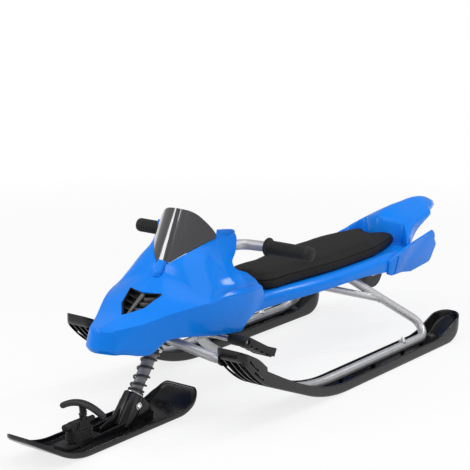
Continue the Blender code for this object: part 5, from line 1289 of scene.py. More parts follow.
def rearNoseTop(station):
    ski = rearSki
    end = ski["noseEnd"]
    if station <= end:
        return smoothFollow(station, [
            (ski["noseTip"], 0.181), (0.425, 0.167), (0.452, 0.152),
            (end, rearSole(end) + 0.031 + ski["step"]),
        ])
    return follow(station, [
        (end, rearSole(end) + 0.031 + ski["step"]), (end + 0.001, rearSole(end) + 0.031),
        (0.538, rearSole(0.538) + 0.027), (0.590, rearSole(0.590) + ski["rim"]),
    ])


def rearRim(station):
    if station < 0.590:
        return rearNoseTop(station) - rearSole(station)
    if station <= 1.140:
        return rearSki["rim"]
    return smoothFollow(station, [
        (1.100, 0.0235), (1.140, 0.0235), (1.178, 0.0300), (1.205, 0.039), (1.226, 0.0465),
        (1.252, 0.0555), (rearSki["end"], rearSki["tailRim"]),
    ]) - rearSole(station)


def rearFloor(station):
    if station > 0.545:
        return rearSki["floor"]
    closed = rearRim(station) - 0.0016
    return closed + (rearSki["floor"] - closed) * ease(station, 0.530, 0.545)


def makeTray(bm, stations, halfWidth, sole, rim, floor, wall, centre, across):
    # A sole from a grid, its rim drawn up in rings round the edge, and a floor to close it.
    first, last = stations[0], stations[-1]
    shareLayer = bm.verts.layers.float.new("share")
    acrossLayer = bm.verts.layers.float.new("across")

    def setAt(vert, inset, lift):
        station = stations[round(vert[shareLayer] * (len(stations) - 1))]
        near = inset * (1.0 - ease(station, first, first + 0.030))
        near -= inset * ease(station, last - 0.030, last)
        x = max(halfWidth(station) - inset, 0.003) * vert[acrossLayer]
        height = sole(station + near) + (rim(station) + lift[1] if isinstance(lift, tuple) else lift)
        vert.co = (centre + x, along(station + near), height)

    def grid(inset, lift):
        made = bmesh.ops.create_grid(bm, x_segments=across, y_segments=len(stations) - 1, size=1.0)["verts"]
        for vert in made:
            vert[shareLayer], vert[acrossLayer] = (vert.co.y + 1.0) / 2.0, vert.co.x
            station = stations[round(vert[shareLayer] * (len(stations) - 1))]
            setAt(vert, inset, lift(station) if callable(lift) else lift)
        return made

    made = grid(0.0060, 0.0)
    edges = list({e for v in made for e in v.link_edges if e.is_boundary})
    rings = [
        (0.0030, 0.0003), (0.0012, 0.0014), (0.0003, 0.0032), (0.0, 0.0055), (0.0, ("rim", -0.0022)),
        (0.0003, ("rim", -0.0009)), (0.0012, ("rim", -0.0001)), (wall / 2, ("rim", 0.0)),
        (wall - 0.0012, ("rim", -0.0001)), (wall - 0.0003, ("rim", -0.0009)), (wall, ("rim", -0.0022)),
    ]
    for inset, lift in rings:
        result = bmesh.ops.extrude_edge_only(bm, edges=edges)
        edges = madeEdges(result)
        for vert in madeVerts(result):
            setAt(vert, inset, lift)
    for inset, above in ((wall, 0.0030), (wall + 0.0008, 0.0010), (wall + 0.0026, 0.0)):
        result = bmesh.ops.extrude_edge_only(bm, edges=edges)
        edges = madeEdges(result)
        for vert in madeVerts(result):
            station = stations[round(vert[shareLayer] * (len(stations) - 1))]
            top = rim(station) - 0.0022
            setAt(vert, inset, min(floor(station) + above, top - 0.0002 + above * 0.1))
    grid(wall + 0.0026, lambda station: min(floor(station), rim(station) - 0.0024))
    bmesh.ops.remove_doubles(bm, verts=bm.verts, dist=2e-6)


def closeSteps(places, step):  # stations at fixed places, with even steps between them
    made = [places[0]]
    for a, b in zip(places, places[1:]):
        pieces = max(1, math.ceil((b - a) / step))
        made += [a + (b - a) * i / pieces for i in range(1, pieces + 1)]
    return made


def makeFrontSki():
    ski = frontSki
    tip, end = ski["tip"], ski["end"]
    bm = bmesh.new()
    places = [tip + d for d in (0.0, 0.0006, 0.0016, 0.003, 0.005, 0.008, 0.012, 0.017)]
    places += closeSteps([tip + 0.022, 0.46], 0.0055)
    places += [end - d for d in (0.030, 0.024, 0.018, 0.013, 0.009, 0.006, 0.0035, 0.0018, 0.0007, 0.0)]
    makeTray(bm, places, frontHalfWidth, frontSole, frontRim, lambda _: ski["floor"], ski["wall"], 0.0, 16)
    finishPiece("frontSkiTray", bm, skiBlack, "suspension", ("front_ski",), angle=50.0)

    bm = bmesh.new()  # the tower that holds the strut, with ridges down its front
    top, foot, high = ski["towerTop"], ski["towerFoot"], ski["towerRadius"]
    bore = ski["strutRadius"] + sled["gap"]
    matrix = axisMatrix()
    turned(bm, softProfile([(foot, 0.002), (high, top), (bore, top), (bore, 0.002)], 0.0016), matrix, 72)
    for degrees in (-118, -90, -62):
        angle = math.radians(degrees)
        way = Vector((math.cos(angle), math.sin(angle), 0.0))
        start = way * (foot - 0.0004) + Vector((0, 0, 0.004))
        stop = way * (high - 0.0004) + Vector((0, 0, top - 0.003))
        sweep(bm, [matrix @ start, matrix @ stop], 0.0017, 12)
    bmesh.ops.bisect_plane(
        bm, geom=everything(bm), plane_co=(0, 0, 0.0015), plane_no=(0, 0, 1), clear_inner=True
    )
    bmesh.ops.holes_fill(bm, edges=[e for e in bm.edges if e.is_boundary])
    apart, deck, ribStart = ski["ribSpread"], ski["floor"], ski["ribStart"]
    station = sled["axisStation"]
    cheek = [  # a plate on each side behind the tower
        (station - 0.004, deck - 0.002), (station + 0.079, deck - 0.002), (station + 0.078, deck + 0.012),
        (station + 0.068, deck + 0.032), (station + 0.050, 0.0555), (station + 0.040, 0.058),
        (station + 0.028, 0.030),
    ]
    rib = [  # a long one on each side before it
        (ribStart, deck - 0.002), (station + 0.050, deck - 0.002), (station + 0.050, deck + 0.006),
        (station - 0.012, 0.0205), (ribStart + 0.020, 0.0145), (ribStart + 0.002, 0.009),
    ]
    gusset = [  # up the front of the tower
        (station - 0.061, deck - 0.002), (station + 0.002, deck - 0.002), (station + 0.022, 0.050),
        (station - 0.004, 0.0410), (station - 0.058, 0.0190),
    ]
    heel = [
        (station + 0.016, deck - 0.002), (station + 0.105, deck - 0.002), (station + 0.100, deck + 0.006),
        (station + 0.046, 0.040),
    ]
    ribs = []
    for x in (apart, -apart):
        ribs += [(x, 0.0014, cheek, [0, 0, 0.02, 0.03, 0.012, 0.006, 0])]
        ribs += [(x, 0.0015, rib, [0, 0, 0.004, 0.02, 0.02, 0.004])]
    ribs += [(0.0, 0.0018, gusset, [0, 0, 0, 0.02, 0.004]), (0.0, 0.002, heel, [0, 0, 0.004, 0.01])]
    for x, half, corners, radii in ribs:
        softenPlate(bm, sidePlate(bm, roundedOutline(corners, radii), x - half, x + half), 0.0006)
    finishPiece("frontSkiTower", bm, skiBlack, "suspension", angle=40.0)


def makeRearSki(word, side):
    ski = rearSki
    centre, half = side * sled["skiTrack"] / 2, ski["width"] / 2
    tip, end, corner = ski["noseTip"], ski["end"], ski["corner"]
    noseEnd, wall, rib = ski["noseEnd"], ski["wall"], ski["rib"]
    bm = bmesh.new()
    places = [tip + corner * (1 - math.cos(math.radians(a))) for a in (0, 12, 24, 36, 48, 60, 72, 81, 90)]
    places += closeSteps([0.417, 0.425, 0.438, 0.452, 0.466, noseEnd], 0.005)
    places += closeSteps([noseEnd + 0.001, 0.530, 0.545, 0.590, 0.700], 0.005)
    places += closeSteps([0.710, ski["soleStart"], 1.140], 0.010)[1:]
    places += closeSteps([1.146, ski["soleEnd"], 1.244], 0.005)
    places += [1.249, 1.254, 1.259, 1.2635, 1.2675, 1.271, 1.2738, 1.2758, 1.2770, 1.2777, end]
    makeTray(bm, places, rearHalfWidth, rearSole, rearRim, rearFloor, wall, centre, 12)
    piece = finishPiece("rearSki_" + word, bm, skiBlack, "frame", ("rear_ski_" + word,), angle=50.0)
    lane = (ski["width"] - 2 * wall + rib) / (ski["ribs"] + 1)
    roof = [(s, rearNoseTop(s) - ski["roof"]) for s in (tip + 0.0055, 0.420, 0.440, 0.460)]
    roof += [(noseEnd, rearSole(noseEnd) + 0.023), (0.505, rearSole(0.505) + 0.018)]
    under = [(s, rearSole(s) - 0.02) for s in (0.548, 0.500, 0.450, 0.415, tip + 0.0055)]
    cut = bmesh.new()
    for number in range(ski["ribs"] + 1):  # hollows between the ribs under the nose
        low = centre - half + wall + lane * number
        sidePlate(cut, roof + under, low, low + lane - rib)
    carve(piece, cut, 50.0)
    cut = bmesh.new()
    for start, stop, low, high in ((0.418, 0.449, 0.0165, 0.0240), (0.434, 0.466, 0.0055, 0.0125)):
        corners = [(start, low), (stop, low), (stop, high - 0.0015), (start + 0.004, high)]
        outline = roundedOutline([(s, rearSole(s) + lift) for s, lift in corners], 0.0018)
        sidePlate(cut, outline, centre - half - 0.01, centre + half + 0.01)
    carve(piece, cut, 50.0)

    bm = bmesh.new()  # boss for the front arm, cross ribs under the rail
    boss = Matrix.Translation((centre - side * half, along(ski["armStation"]), ski["armHeight"]))
    boss = boss @ Matrix.Rotation(-side * math.pi / 2, 4, "Y")
    wide, reach = ski["bossRadius"], ski["boss"]
    turned(bm, softProfile([(0.0, -0.003), (wide, -0.003), (wide, reach), (0.0, reach)], 0.0008), boss, 40)
    top = tubes["railHeight"] - tubes["railRadius"] - sled["gap"]
    for spot in (0.800, 0.930, 1.055, 1.140):
        corners = [(spot - 0.004, 0.003), (spot + 0.004, 0.003), (spot + 0.003, top), (spot - 0.003, top)]
        softenPlate(bm, sidePlate(bm, corners, centre - 0.004, centre + 0.004), 0.0008)
    lift = ski["floor"] + 0.0032
    for across in (-0.0215, 0.0215):  # the low kerbs that guide the rail
        stations = closeSteps([0.700, 1.200], 0.02)
        path = [(centre + across, along(s), rearSole(s) + lift) for s in stations]
        sweep(bm, path, 0.0016, 10, (1, 0, 0), shape=lambda t: (1.0, 3.0))
    finishPiece("rearSkiRibs_" + word, bm, skiBlack, "frame", angle=40.0)


# Frame tubes

tubes = {
    "railRadius": 0.010, "railHeight": 0.026, "railStart": 0.615, "railBend": 1.199, "bendRadius": 0.032,
    "legTop": 1.026, "legSpread": 0.058, "braceRadius": 0.008, "braceFoot": 1.098, "braceHead": 0.886,
    "armRadius": 0.010, "kneeX": 0.058, "kneeStation": 0.402, "kneeHeight": 0.1695,
    "collarRadius": 0.0135, "collarLength": 0.016, "spineRadius": 0.0125, "clearance": 0.0002,
    "spineEnd": 1.100, "plate": 0.004, "headRadius": 0.019, "headBore": 0.016, "headLength": 0.112,
    "boltStation": 1.055, "bead": 0.0019,
}
steer = {
    "springLow": 0.0773, "springLength": 0.098, "springRadius": 0.0152, "wire": 0.0022, "coils": 6,
    "travel": 0.030, "strutRadius": 0.009, "strutWall": 0.002, "strutFoot": 0.028, "strutTop": 0.240,
    "boltAt": 0.054, "seatRadius": 0.0185, "seatHeight": 0.002, "columnRadius": 0.0125,
    "columnBore": 0.0096, "flangeRadius": 0.020, "flange": 0.0035, "bushLength": 0.020,
    "collarRadius": 0.018, "collarHeight": 0.010, "barRadius": 0.011, "barHeight": 0.410,
    "barWidth": 0.464, "sweep": 0.088, "clampWidth": 0.036, "clampFloor": 0.007, "clampHeight": 0.0175,
    "gripRadius": 0.0150, "gripLength": 0.112, "gripEnd": 0.004, "gripFlange": 0.020,
    "sleeve": 0.0117,
}
gap = sled["gap"]
plateBottom = sled["deckHeight"] - sled["sheet"] - gap - tubes["plate"]
spineHeight = plateBottom - gap - tubes["spineRadius"]
springHigh = steer["springLow"] + steer["springLength"]
columnFoot = springHigh + 2 * steer["seatHeight"] + 2 * gap
headLow = columnFoot + steer["flange"] + gap
headHigh = headLow + tubes["headLength"]
headSpan = onAxis(headLow - 0.02), onAxis(headHigh + 0.02)
headWay = (headSpan[1] - headSpan[0]).normalized()
columnTop = steer["barHeight"] - steer["barRadius"] - steer["clampFloor"]


def legPoint(side, station):
    foot = Vector((side * sled["skiTrack"] / 2, along(tubes["railBend"]), tubes["railHeight"]))
    knee = Vector((side * tubes["legSpread"], along(tubes["legTop"]), plateBottom - gap - 0.022))
    return foot + (knee - foot) * (station - tubes["railBend"]) / (tubes["legTop"] - tubes["railBend"])


def weldBead(bm, point, heading, radius, spot, way, reach):
    # A bead where a round tube that runs along heading meets a round one on the line through spot.
    side = heading.orthogonal().normalized()
    up = heading.cross(side)
    ring = []
    for i in range(40):
        angle = 2 * math.pi * i / 40
        start = point + (side * math.cos(angle) + up * math.sin(angle)) * radius - spot
        flat, run = start - way * start.dot(way), heading - way * heading.dot(way)
        a, b, c = run.dot(run), flat.dot(run), flat.dot(flat) - reach**2
        ring.append(spot + start + heading * ((-b - math.sqrt(max(b * b - a * c, 0.0))) / a))
    sweep(bm, ring, tubes["bead"], 10, closed=True, shape=lambda t: (1.0 + 0.10 * math.sin(t * 150.0),) * 2)


def aimed(point, heading):  # a matrix at the point, its Z along the heading
    return Matrix.Translation(point) @ heading.to_track_quat("Z", "Y").to_matrix().to_4x4()


def cutRound(piece, low, high, radius):  # takes a round bar away from a piece, with a little clearance
    tool, length = bmesh.new(), (high - low).length
    matrix = aimed(low, (high - low).normalized())
    radius += tubes["clearance"]
    turned(tool, [(0.0, 0.0), (radius, 0.0), (radius, length), (0.0, length)], matrix, 48)
    carve(piece, tool, 35.0)


def weldPiece(name, slot, *welds):
    bm = bmesh.new()
    for weld in welds:
        weldBead(bm, *weld)
    finishPiece(name, bm, silver, "frame", angle=60.0)


def pressedEnd(t):  # scales of the rail's front end, which is pressed flat
    flat = 1.0 - ease(t, 0.0, 0.075)
    return (1.0 - 0.10 * flat, 1.0 - 0.52 * flat) if t > 0.0 else (0.84, 0.42)


def makeRails():
    radius, braceRadius = tubes["railRadius"], tubes["braceRadius"]
    lift = rearSki["floor"] + radius + 0.002
    start, bolt = tubes["railStart"], along(tubes["boltStation"])
    for word, side in sides:
        x = side * sled["skiTrack"] / 2
        corners = [
            (x, along(start), rearSole(start) + lift),
            (x, along(0.690), rearSole(0.690) + lift + 0.001), (x, along(0.790), tubes["railHeight"]),
            legPoint(side, tubes["railBend"]), legPoint(side, tubes["legTop"]),
            (side * tubes["legSpread"], along(tubes["legTop"]), plateBottom - gap),
        ]
        path = roundedPath(corners, [0.30, 0.20, tubes["bendRadius"], 0.018], math.radians(5.0))
        sweptPiece(
            "rail_" + word + "_tube", evenPath(path, 0.012), radius, 32, silver, "frame",
            ("rail_" + word,), side=(1, 0, 0), shape=pressedEnd,
        )

        foot = legPoint(side, tubes["braceFoot"])
        head = Vector((0.0, along(tubes["braceHead"]), spineHeight))
        heading = (head - foot).normalized()
        path = evenPath([foot, head - heading * 0.009], 0.02)
        piece = sweptPiece(
            "brace_" + word + "_tube", path, braceRadius, 28, silver, "frame", ("brace_" + word,)
        )
        low, high = (legPoint(side, tubes["braceFoot"] + d) for d in (0.05, -0.05))
        cutRound(piece, low, high, radius)
        legWay = (legPoint(side, 1.0) - legPoint(side, 1.1)).normalized()
        weldPiece(
            "braceWeld_" + word, "brace_" + word,
            (head, -heading, braceRadius, foot, legWay, radius),
            (foot, heading, braceRadius, head, Vector((0, 1, 0)), tubes["spineRadius"]),
        )

        bm = bmesh.new()  # a domed nut holds the rail down in its ski
        seat = tubes["railHeight"] + radius + gap
        matrix = Matrix.Translation((x, bolt, seat))
        rod = Matrix.Translation((x, bolt, 0.0023))
        turned(bm, [(0.0, 0.0), (0.003, 0.0), (0.003, seat - 0.003), (0.0, seat - 0.003)], rod, 24)
        hexHead(bm, matrix, 0.0118, 0.0040, 0.0008)
        angles, dome = spread(0.0, math.pi / 2, 9), 0.0050
        arc = [(dome * math.cos(a), 0.0052 + dome * math.sin(a)) for a in angles]
        turned(bm, [(dome, 0.0046), *arc[:-1], (0.0, arc[-1][1])], matrix, 32)
        finishPiece("railNut_" + word, bm, chrome, "frame", ("rail_bolt_" + word,), angle=30.0)


def makeArms():
    reach = sled["skiTrack"] / 2 - rearSki["width"] / 2 - rearSki["boss"] - gap
    head = onAxis(headLow + 0.022)
    y, height, radius = along(rearSki["armStation"]), rearSki["armHeight"], tubes["armRadius"]
    for word, side in sides:
        knee = Vector((side * tubes["kneeX"], along(tubes["kneeStation"]), tubes["kneeHeight"]))
        heading = (head - knee).normalized()
        corners = [
            (side * reach, y, height), (side * (reach - 0.014), y, height), knee, head - heading * 0.004,
        ]
        path = evenPath(roundedPath(corners, [0.060, 0.030], math.radians(4.0)), 0.012)
        piece = sweptPiece("frontArm_" + word, path, radius, 32, silver, "frame", ("front_arm_" + word,))
        cutRound(piece, *headSpan, tubes["headRadius"])
        near = head - heading * (tubes["headRadius"] + 0.012)
        far = near - heading * tubes["collarLength"]
        bore, wide, long = radius + gap, tubes["collarRadius"], tubes["collarLength"]
        rim = [
            (bore, 0.0), (wide, 0.0), (wide, 0.0035), (wide - 0.0011, 0.0042),
            (wide - 0.0011, long - 0.0042), (wide, long - 0.0035), (wide, long), (bore, long),
        ]
        turnedPiece(
            "armCollar_" + word, softProfile(rim, 0.0006), aimed(far, heading), satinBlack, "frame",
            ("arm_collar_" + word,), segments=48,
        )
        bead = (knee, heading, radius, onAxis(headLow), headWay, tubes["headRadius"])
        weldPiece("armWeld_" + word, "front_arm_" + word, bead)


def makeSpine():
    radius, wide = tubes["spineRadius"], tubes["headRadius"]
    start = onAxis(spineHeight / math.cos(sled["axisRake"]))
    end = Vector((0.0, along(tubes["spineEnd"]), spineHeight))
    path = evenPath([Vector((0.0, start.y, spineHeight)), end - Vector((0, 0.002, 0))], 0.03)
    path += [end - Vector((0, 0.0008, 0)), end]
    count = len(path) - 1
    piece = sweptPiece(
        "backboneTube", path, radius, 36, silver, "frame", ("backbone_tube",),
        shape=lambda t: (1 - 0.10 * ease(t, 1 - 1.2 / count, 1.0),) * 2,
    )
    cutRound(piece, *headSpan, wide)
    bead = (end, Vector((0, -1, 0)), radius, onAxis(headLow), headWay, wide)
    weldPiece("backboneWeld", "backbone_tube", bead)
    tube = ringShape(wide, tubes["headBore"], headLow, headHigh, 0.0007)
    turnedPiece("headTube", tube, axisMatrix(), silver, "frame", ("head_tube",))


def ringShape(outer, inner, low, high, width=0.0005):
    return softProfile([(inner, low), (outer, low), (outer, high), (inner, high)], width)


makeFrontSki()
for word, side in sides:
    makeRearSki(word, side)
print("skis made")
makeRails()
makeArms()
makeSpine()
print("frame tubes made")


# Steering and suspension, along the steering axis

def coilPath():
    wire, radius = 2 * steer["wire"], steer["springRadius"]
    low, high = steer["springLow"] + gap, springHigh - gap
    start, end = low + wire * 0.62, high - wire * 0.62
    turns, steps = steer["coils"] + 1.0, 28
    path = []
    count = round(turns * steps)
    for i in range(count + 1):  # the end coils lie nearly flat on their seats
        t = i / count
        angle = 2 * math.pi * turns * t
        share = 0.14 * t + 0.86 * ease(t, 0.03, 0.97)
        rise = start + (end - start) * share if 0 < t < 1 else (start, end)[round(t)]
        path.append(Vector((radius * math.cos(angle), radius * math.sin(angle), rise)))
    return path


def makeSuspension():
    matrix = axisMatrix()
    radius, low = steer["strutRadius"], steer["springLow"]
    sleeve, seat = steer["sleeve"], steer["seatRadius"]
    top = frontSki["towerTop"] + gap
    strut = ringShape(radius, radius - steer["strutWall"], steer["strutFoot"], steer["strutTop"])
    turnedPiece("strutTube", strut, matrix, strutMetal, "suspension", ("strut",))
    # Two sleeves inside the spring, which slide into each other.
    lower = ringShape(sleeve, radius + gap, low + gap, low + 0.065)
    turnedPiece("lowerSleeve", lower, matrix, sleeveGrey, "suspension")
    upper = ringShape(sleeve + 0.0011, sleeve + gap, low + 0.034, springHigh)
    turnedPiece("upperSleeve", upper, matrix, sleeveGrey, "steering")
    dish = ringShape(seat, radius + gap, top, top + steer["seatHeight"])
    turnedPiece("lowerSpringSeat", dish, matrix, zinc, "suspension", ("lower_spring_seat",))

    path = [matrix @ point for point in coilPath()]
    spring = sweptPiece(
        "coilSpring", path, steer["wire"], 14, springBlack, "steering", ("coil_spring",), angle=60.0
    )
    up = (onAxis(1.0) - onAxis(0.0)).normalized()
    tuple(onAxis(springHigh))
    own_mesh(spring)

    bm = bmesh.new()
    tower = [(0.0, frontSki["towerFoot"]), (frontSki["towerTop"], frontSki["towerRadius"])]
    reach = follow(steer["boltAt"], tower) + gap
    across = axisMatrix(steer["boltAt"]) @ Matrix.Rotation(math.pi / 2, 4, "Y")
    turned(bm, [(0.0, -reach), (0.003, -reach), (0.003, reach), (0.0, reach)], across, 24)
    for way in (across, across @ Matrix.Rotation(math.pi, 4, "X")):
        hexHead(bm, way @ Matrix.Translation((0, 0, reach)), 0.0098, 0.0032, 0.0007)
    finishPiece("strutBolt", bm, chrome, "suspension", ("strut_bolt",), angle=30.0)


def makeSteering():
    low = springHigh + gap
    column, flange = steer["columnRadius"], steer["flangeRadius"]
    sleeve, bore = tubes["headBore"] - gap, column + gap
    foot, top, long, high = columnFoot, headHigh, steer["bushLength"], steer["flange"]
    rest = top + 2 * gap + high
    outer, end = steer["collarRadius"], rest + steer["collarHeight"]
    lowerBush = [
        (flange, foot), (flange, foot + high - gap), (sleeve, foot + high - gap),
        (sleeve, foot + high + long), (bore, foot + high + long), (bore, foot),
    ]
    upperBush = [
        (flange, top + gap + high), (bore, top + gap + high), (bore, top - long), (sleeve, top - long),
        (sleeve, top + gap), (flange, top + gap),
    ]
    collar = [
        (bore, rest), (outer, rest), (outer, rest + 0.004), (outer - 0.0008, rest + 0.0046),
        (outer - 0.0008, end - 0.0026), (outer, end - 0.0020), (outer, end), (bore, end),
    ]
    inner = steer["strutRadius"] + 2 * gap
    seat = ringShape(steer["seatRadius"], inner, low, low + 2 * steer["seatHeight"])
    tube = ringShape(column, steer["columnBore"], foot, columnTop)
    for name, profile, finish, body, node, angle in (
        ("upperSpringSeat", seat, zinc, "steering", "upper_spring_seat", 40.0),
        ("steeringColumn", tube, silver, "steering", "steering_column", 40.0),
        ("lowerBush", softProfile(lowerBush, 0.0007), satinBlack, "frame", "lower_bush", 40.0),
        ("upperBush", softProfile(upperBush, 0.0007), satinBlack, "frame", "upper_bush", 40.0),
        ("lockCollar", softProfile(collar, 0.0004), zinc, "steering", "lock_collar", 30.0),
    ):
        turnedPiece(name, profile, axisMatrix(), finish, body, (node,), angle=angle)


def barCorners(side):
    centre, back = onAxis(steer["barHeight"]), steer["sweep"]
    end = steer["barWidth"] / 2 - steer["gripEnd"] - gap
    offsets = [
        (0.0, 0.0), (steer["clampWidth"] / 2 + 0.016, 0.0), (0.062, back * 0.90), (0.112, back),
        (end, back),
    ]
    return [centre + Vector((side * x, y, 0.0)) for x, y in offsets]


def makeHandlebar():
    left, right = barCorners(1), barCorners(-1)
    corners = right[:0:-1] + left[1:]
    path = roundedPath(corners, [0.030, 0.030, 0.018, 0.018, 0.030, 0.030], math.radians(5.0))
    sweptPiece(
        "handlebarTube", evenPath(path, 0.012), steer["barRadius"], 32, silver, "steering",
        ("handlebar",), side=(0, 0, 1),
    )
    radius, reach, bore = steer["gripRadius"], steer["gripLength"], steer["barRadius"] + gap
    flange, cap = steer["gripFlange"], steer["gripEnd"]
    profile = [(bore, 0.0), (flange - 0.0008, 0.0), (flange, 0.0010), (flange, 0.0030)]
    profile += [(flange - 0.0010, 0.0040), (radius + 0.0012, 0.0046), (radius, 0.0062)]
    ribs, groove = 17, radius - 0.0011
    pitch = (reach - 0.024) / ribs
    for i in range(ribs):  # rounded ribs with narrow grooves between them
        start = 0.010 + i * pitch
        profile += [(radius, start), (radius, start + pitch * 0.62)]
        profile += [(groove, start + pitch * 0.72), (groove, start + pitch * 0.90)]
    profile += [(radius, reach - 0.013), (radius, reach - 0.005), (radius - 0.0012, reach - 0.0018)]
    profile += [(radius - 0.0040, reach), (0.0, reach), (0.0, reach - cap), (bore, reach - cap)]
    for word, side in sides:
        bend, end = barCorners(side)[3:]
        heading = (end - bend).normalized()
        matrix = aimed(end + heading * (cap + gap - reach), heading)
        turnedPiece(
            "grip_" + word + "_sleeve", profile, matrix, rubber, "steering", ("grip_" + word,), segments=56
        )


def makeClamp():
    polishNode("clamp_base", "clampBase", satinBlack, "steering", 0.0012)
    polishNode("clamp_cap", "clampCap", satinBlack, "steering", 0.0014)
    bm = bmesh.new()
    wide, bore = 0.0030, 0.0014
    rim = [(0.0, 0.0004), (bore, 0.0004), (bore, 0.0026), (wide, 0.0026), (wide, -0.001), (0.0, -0.001)]
    top = axisMatrix(steer["barHeight"] + steer["clampHeight"])
    for x in (-0.012, 0.012):
        for y in (-0.0135, 0.0135):
            turned(bm, softProfile(rim, 0.0003), top @ Matrix.Translation((x, y, 0.0)), 24)
    finishPiece("clampScrews", bm, zinc, "steering", angle=30.0)


makeSuspension()
makeSteering()
makeHandlebar()
makeClamp()
print("steering and suspension made")


# Tow handle and its line

tow = {
    "station": 0.196, "neckStation": 0.184, "neckLength": 0.058, "neckWidth": 0.016, "neckTop": 0.052,
    "stem": 0.0070, "bowWidth": 0.112, "bowHeight": 0.083, "bowDrop": 0.017, "bowRadius": 0.0062,
    "line": 0.0018, "loops": 5, "loopSteps": 44, "pitch": 0.0042, "lineStart": 0.0138,
}


def bowScale(t):  # thick in the middle, with blunt rounded ends
    x = abs(math.sin(math.pi / 2 * (2 * t - 1)))
    end = math.sqrt(max(1.0 - max(0.0, (x - 0.93) / 0.07) ** 2, 0.0))
    size = 1.0 - 0.10 * x
    return (size * (0.35 + 0.65 * end) * 1.35, size * (0.40 + 0.60 * end) * 1.12)


def makeTowHandle():
    y, reach = along(tow["station"]), tow["bowWidth"] / 2
    path = []
    for i in range(41):
        x = reach * math.sin(math.pi / 2 * (i / 20 - 1))
        path.append(Vector((x, y, tow["bowHeight"] - tow["bowDrop"] * (x / reach) ** 2)))
    sweptPiece(
        "towHandle", path, tow["bowRadius"], 32, grainBlack, "tow_handle", ("tow_handle",),
        side=(0, 1, 0), shape=bowScale,
    )
    low, high, radius = tow["neckTop"] - 0.0197, tow["bowHeight"] - 0.001, tow["stem"]
    rim = [
        (0.0, low), (radius, low), (radius, 0.0595), (radius + 0.0014, 0.0605), (radius + 0.0014, 0.0625),
        (radius - 0.0006, 0.0635), (radius + 0.0002, high - 0.006), (radius + 0.004, high), (0.0, high),
    ]
    turnedPiece(
        "towHandleStem", softProfile(rim, 0.0007), Matrix.Translation((0.0, y, 0.0)), grainBlack,
        "tow_handle", segments=40,
    )


def makeTowBase():
    polishNode("tow_base", "towBase", grainBlack, "suspension", 0.0007)
    bm = bmesh.new()  # upright ridges on the neck, above the line
    middle, half, wide = along(tow["neckStation"]), tow["neckLength"] / 2, tow["neckWidth"] / 2
    for i in range(7):
        y = middle + (half - wide) * (i / 3.0 - 1.0)
        for x in (0.0003 - wide, wide - 0.0003):
            sweep(bm, [Vector((x, y, 0.0395)), Vector((x, y, 0.0505))], 0.0011, 10)
    finishPiece("towBaseRidges", bm, grainBlack, "suspension", angle=50.0)


def makeTowLine():
    wide, radius, y = tow["neckWidth"] / 2, tow["line"], along(tow["neckStation"])
    bend, straight = wide + radius + 0.0008, tow["neckLength"] / 2 - wide
    perLoop = tow["loopSteps"]
    lap, arc = 2 * math.pi * bend + 4 * straight, math.pi * bend

    def oval(distance):
        distance %= lap
        if distance < 2 * straight:
            return Vector((bend, y - straight + distance, 0.0))
        distance -= 2 * straight
        if distance < arc:
            angle = distance / bend
            return Vector((bend * math.cos(angle), y + straight + bend * math.sin(angle), 0.0))
        distance -= arc
        if distance < 2 * straight:
            return Vector((-bend, y + straight - distance, 0.0))
        angle = math.pi + (distance - 2 * straight) / bend
        return Vector((bend * math.cos(angle), y - straight + bend * math.sin(angle), 0.0))

    points = []
    for i in range(tow["loops"] * perLoop + 1):
        point = oval(lap * i / perLoop)
        point.z = tow["lineStart"] + tow["pitch"] * i / perLoop
        points.append(point)
    top = points[-1]
    height = tow["bowHeight"] - tow["bowRadius"] - 0.006
    stem = Vector((tow["stem"] + radius + gap * 2, along(tow["station"]), height))
    lead = [top, top + Vector((0.0, 0.006, 0.0008)), stem + Vector((0.004, -0.010, -0.012)), stem]
    points += evenPath(roundedPath(lead, [0.004, 0.006], math.radians(12.0)), 0.0012)[1:]
    line = sweptPiece("towLine", points, radius, 14, cordBlack, None, ("tow_line",), angle=70.0, wrap=True)
    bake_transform(line)


makeTowHandle()
makeTowBase()
makeTowLine()
print("tow handle made")


# Foot brake and reel

brake = {
    "station": 0.515, "height": spineHeight - 0.0269, "shaftRadius": 0.006, "claw": 0.048,
    "hanger": 0.082, "wire": 0.0009, "coils": 3, "coilSteps": 24,
}
reel = {
    "station": 1.214, "height": sled["deckHeight"] - sled["sheet"] - 0.060, "radius": 0.040, "width": 0.040,
    "wall": 0.003, "axle": 0.004, "hub": 0.012, "flange": 0.033,
}


def makeBrake():
    for node, name, finish, body, width in (
        ("brake_shaft", "brakeShaft", zinc, "brake", 0.0008),
        ("brake_pedal_left", "brakePedal_left", grainBlack, "brake", 0.0012),
        ("brake_pedal_right", "brakePedal_right", grainBlack, "brake", 0.0012),
        ("brake_claw", "brakeClaw", galvanised, "brake", 0.0005),
        ("brake_hanger", "brakeHanger", silver, "frame", 0.0008),
    ):
        polishNode(node, name, finish, body, width)
    wire, steps = brake["wire"], brake["coilSteps"]
    count = brake["coils"] * steps
    radius = brake["shaftRadius"] + 2 * gap + wire + 0.0006
    start, end = brake["claw"] / 2 + gap + wire, brake["hanger"] / 2 - 0.003 - gap - wire
    centre = Vector((0.0, along(brake["station"]), brake["height"]))
    path = []
    for i in range(count + 1):
        angle, x = 2 * math.pi * i / steps, start + (end - start) * i / count
        path.append(centre + Vector((x, radius * math.cos(angle), radius * math.sin(angle))))
    path.append(path[-1] + Vector((0.0, 0.0, 0.011)))
    sweptPiece("brakeSpring", path, wire, 10, springBlack, "frame", ("brake_spring",), angle=60.0)


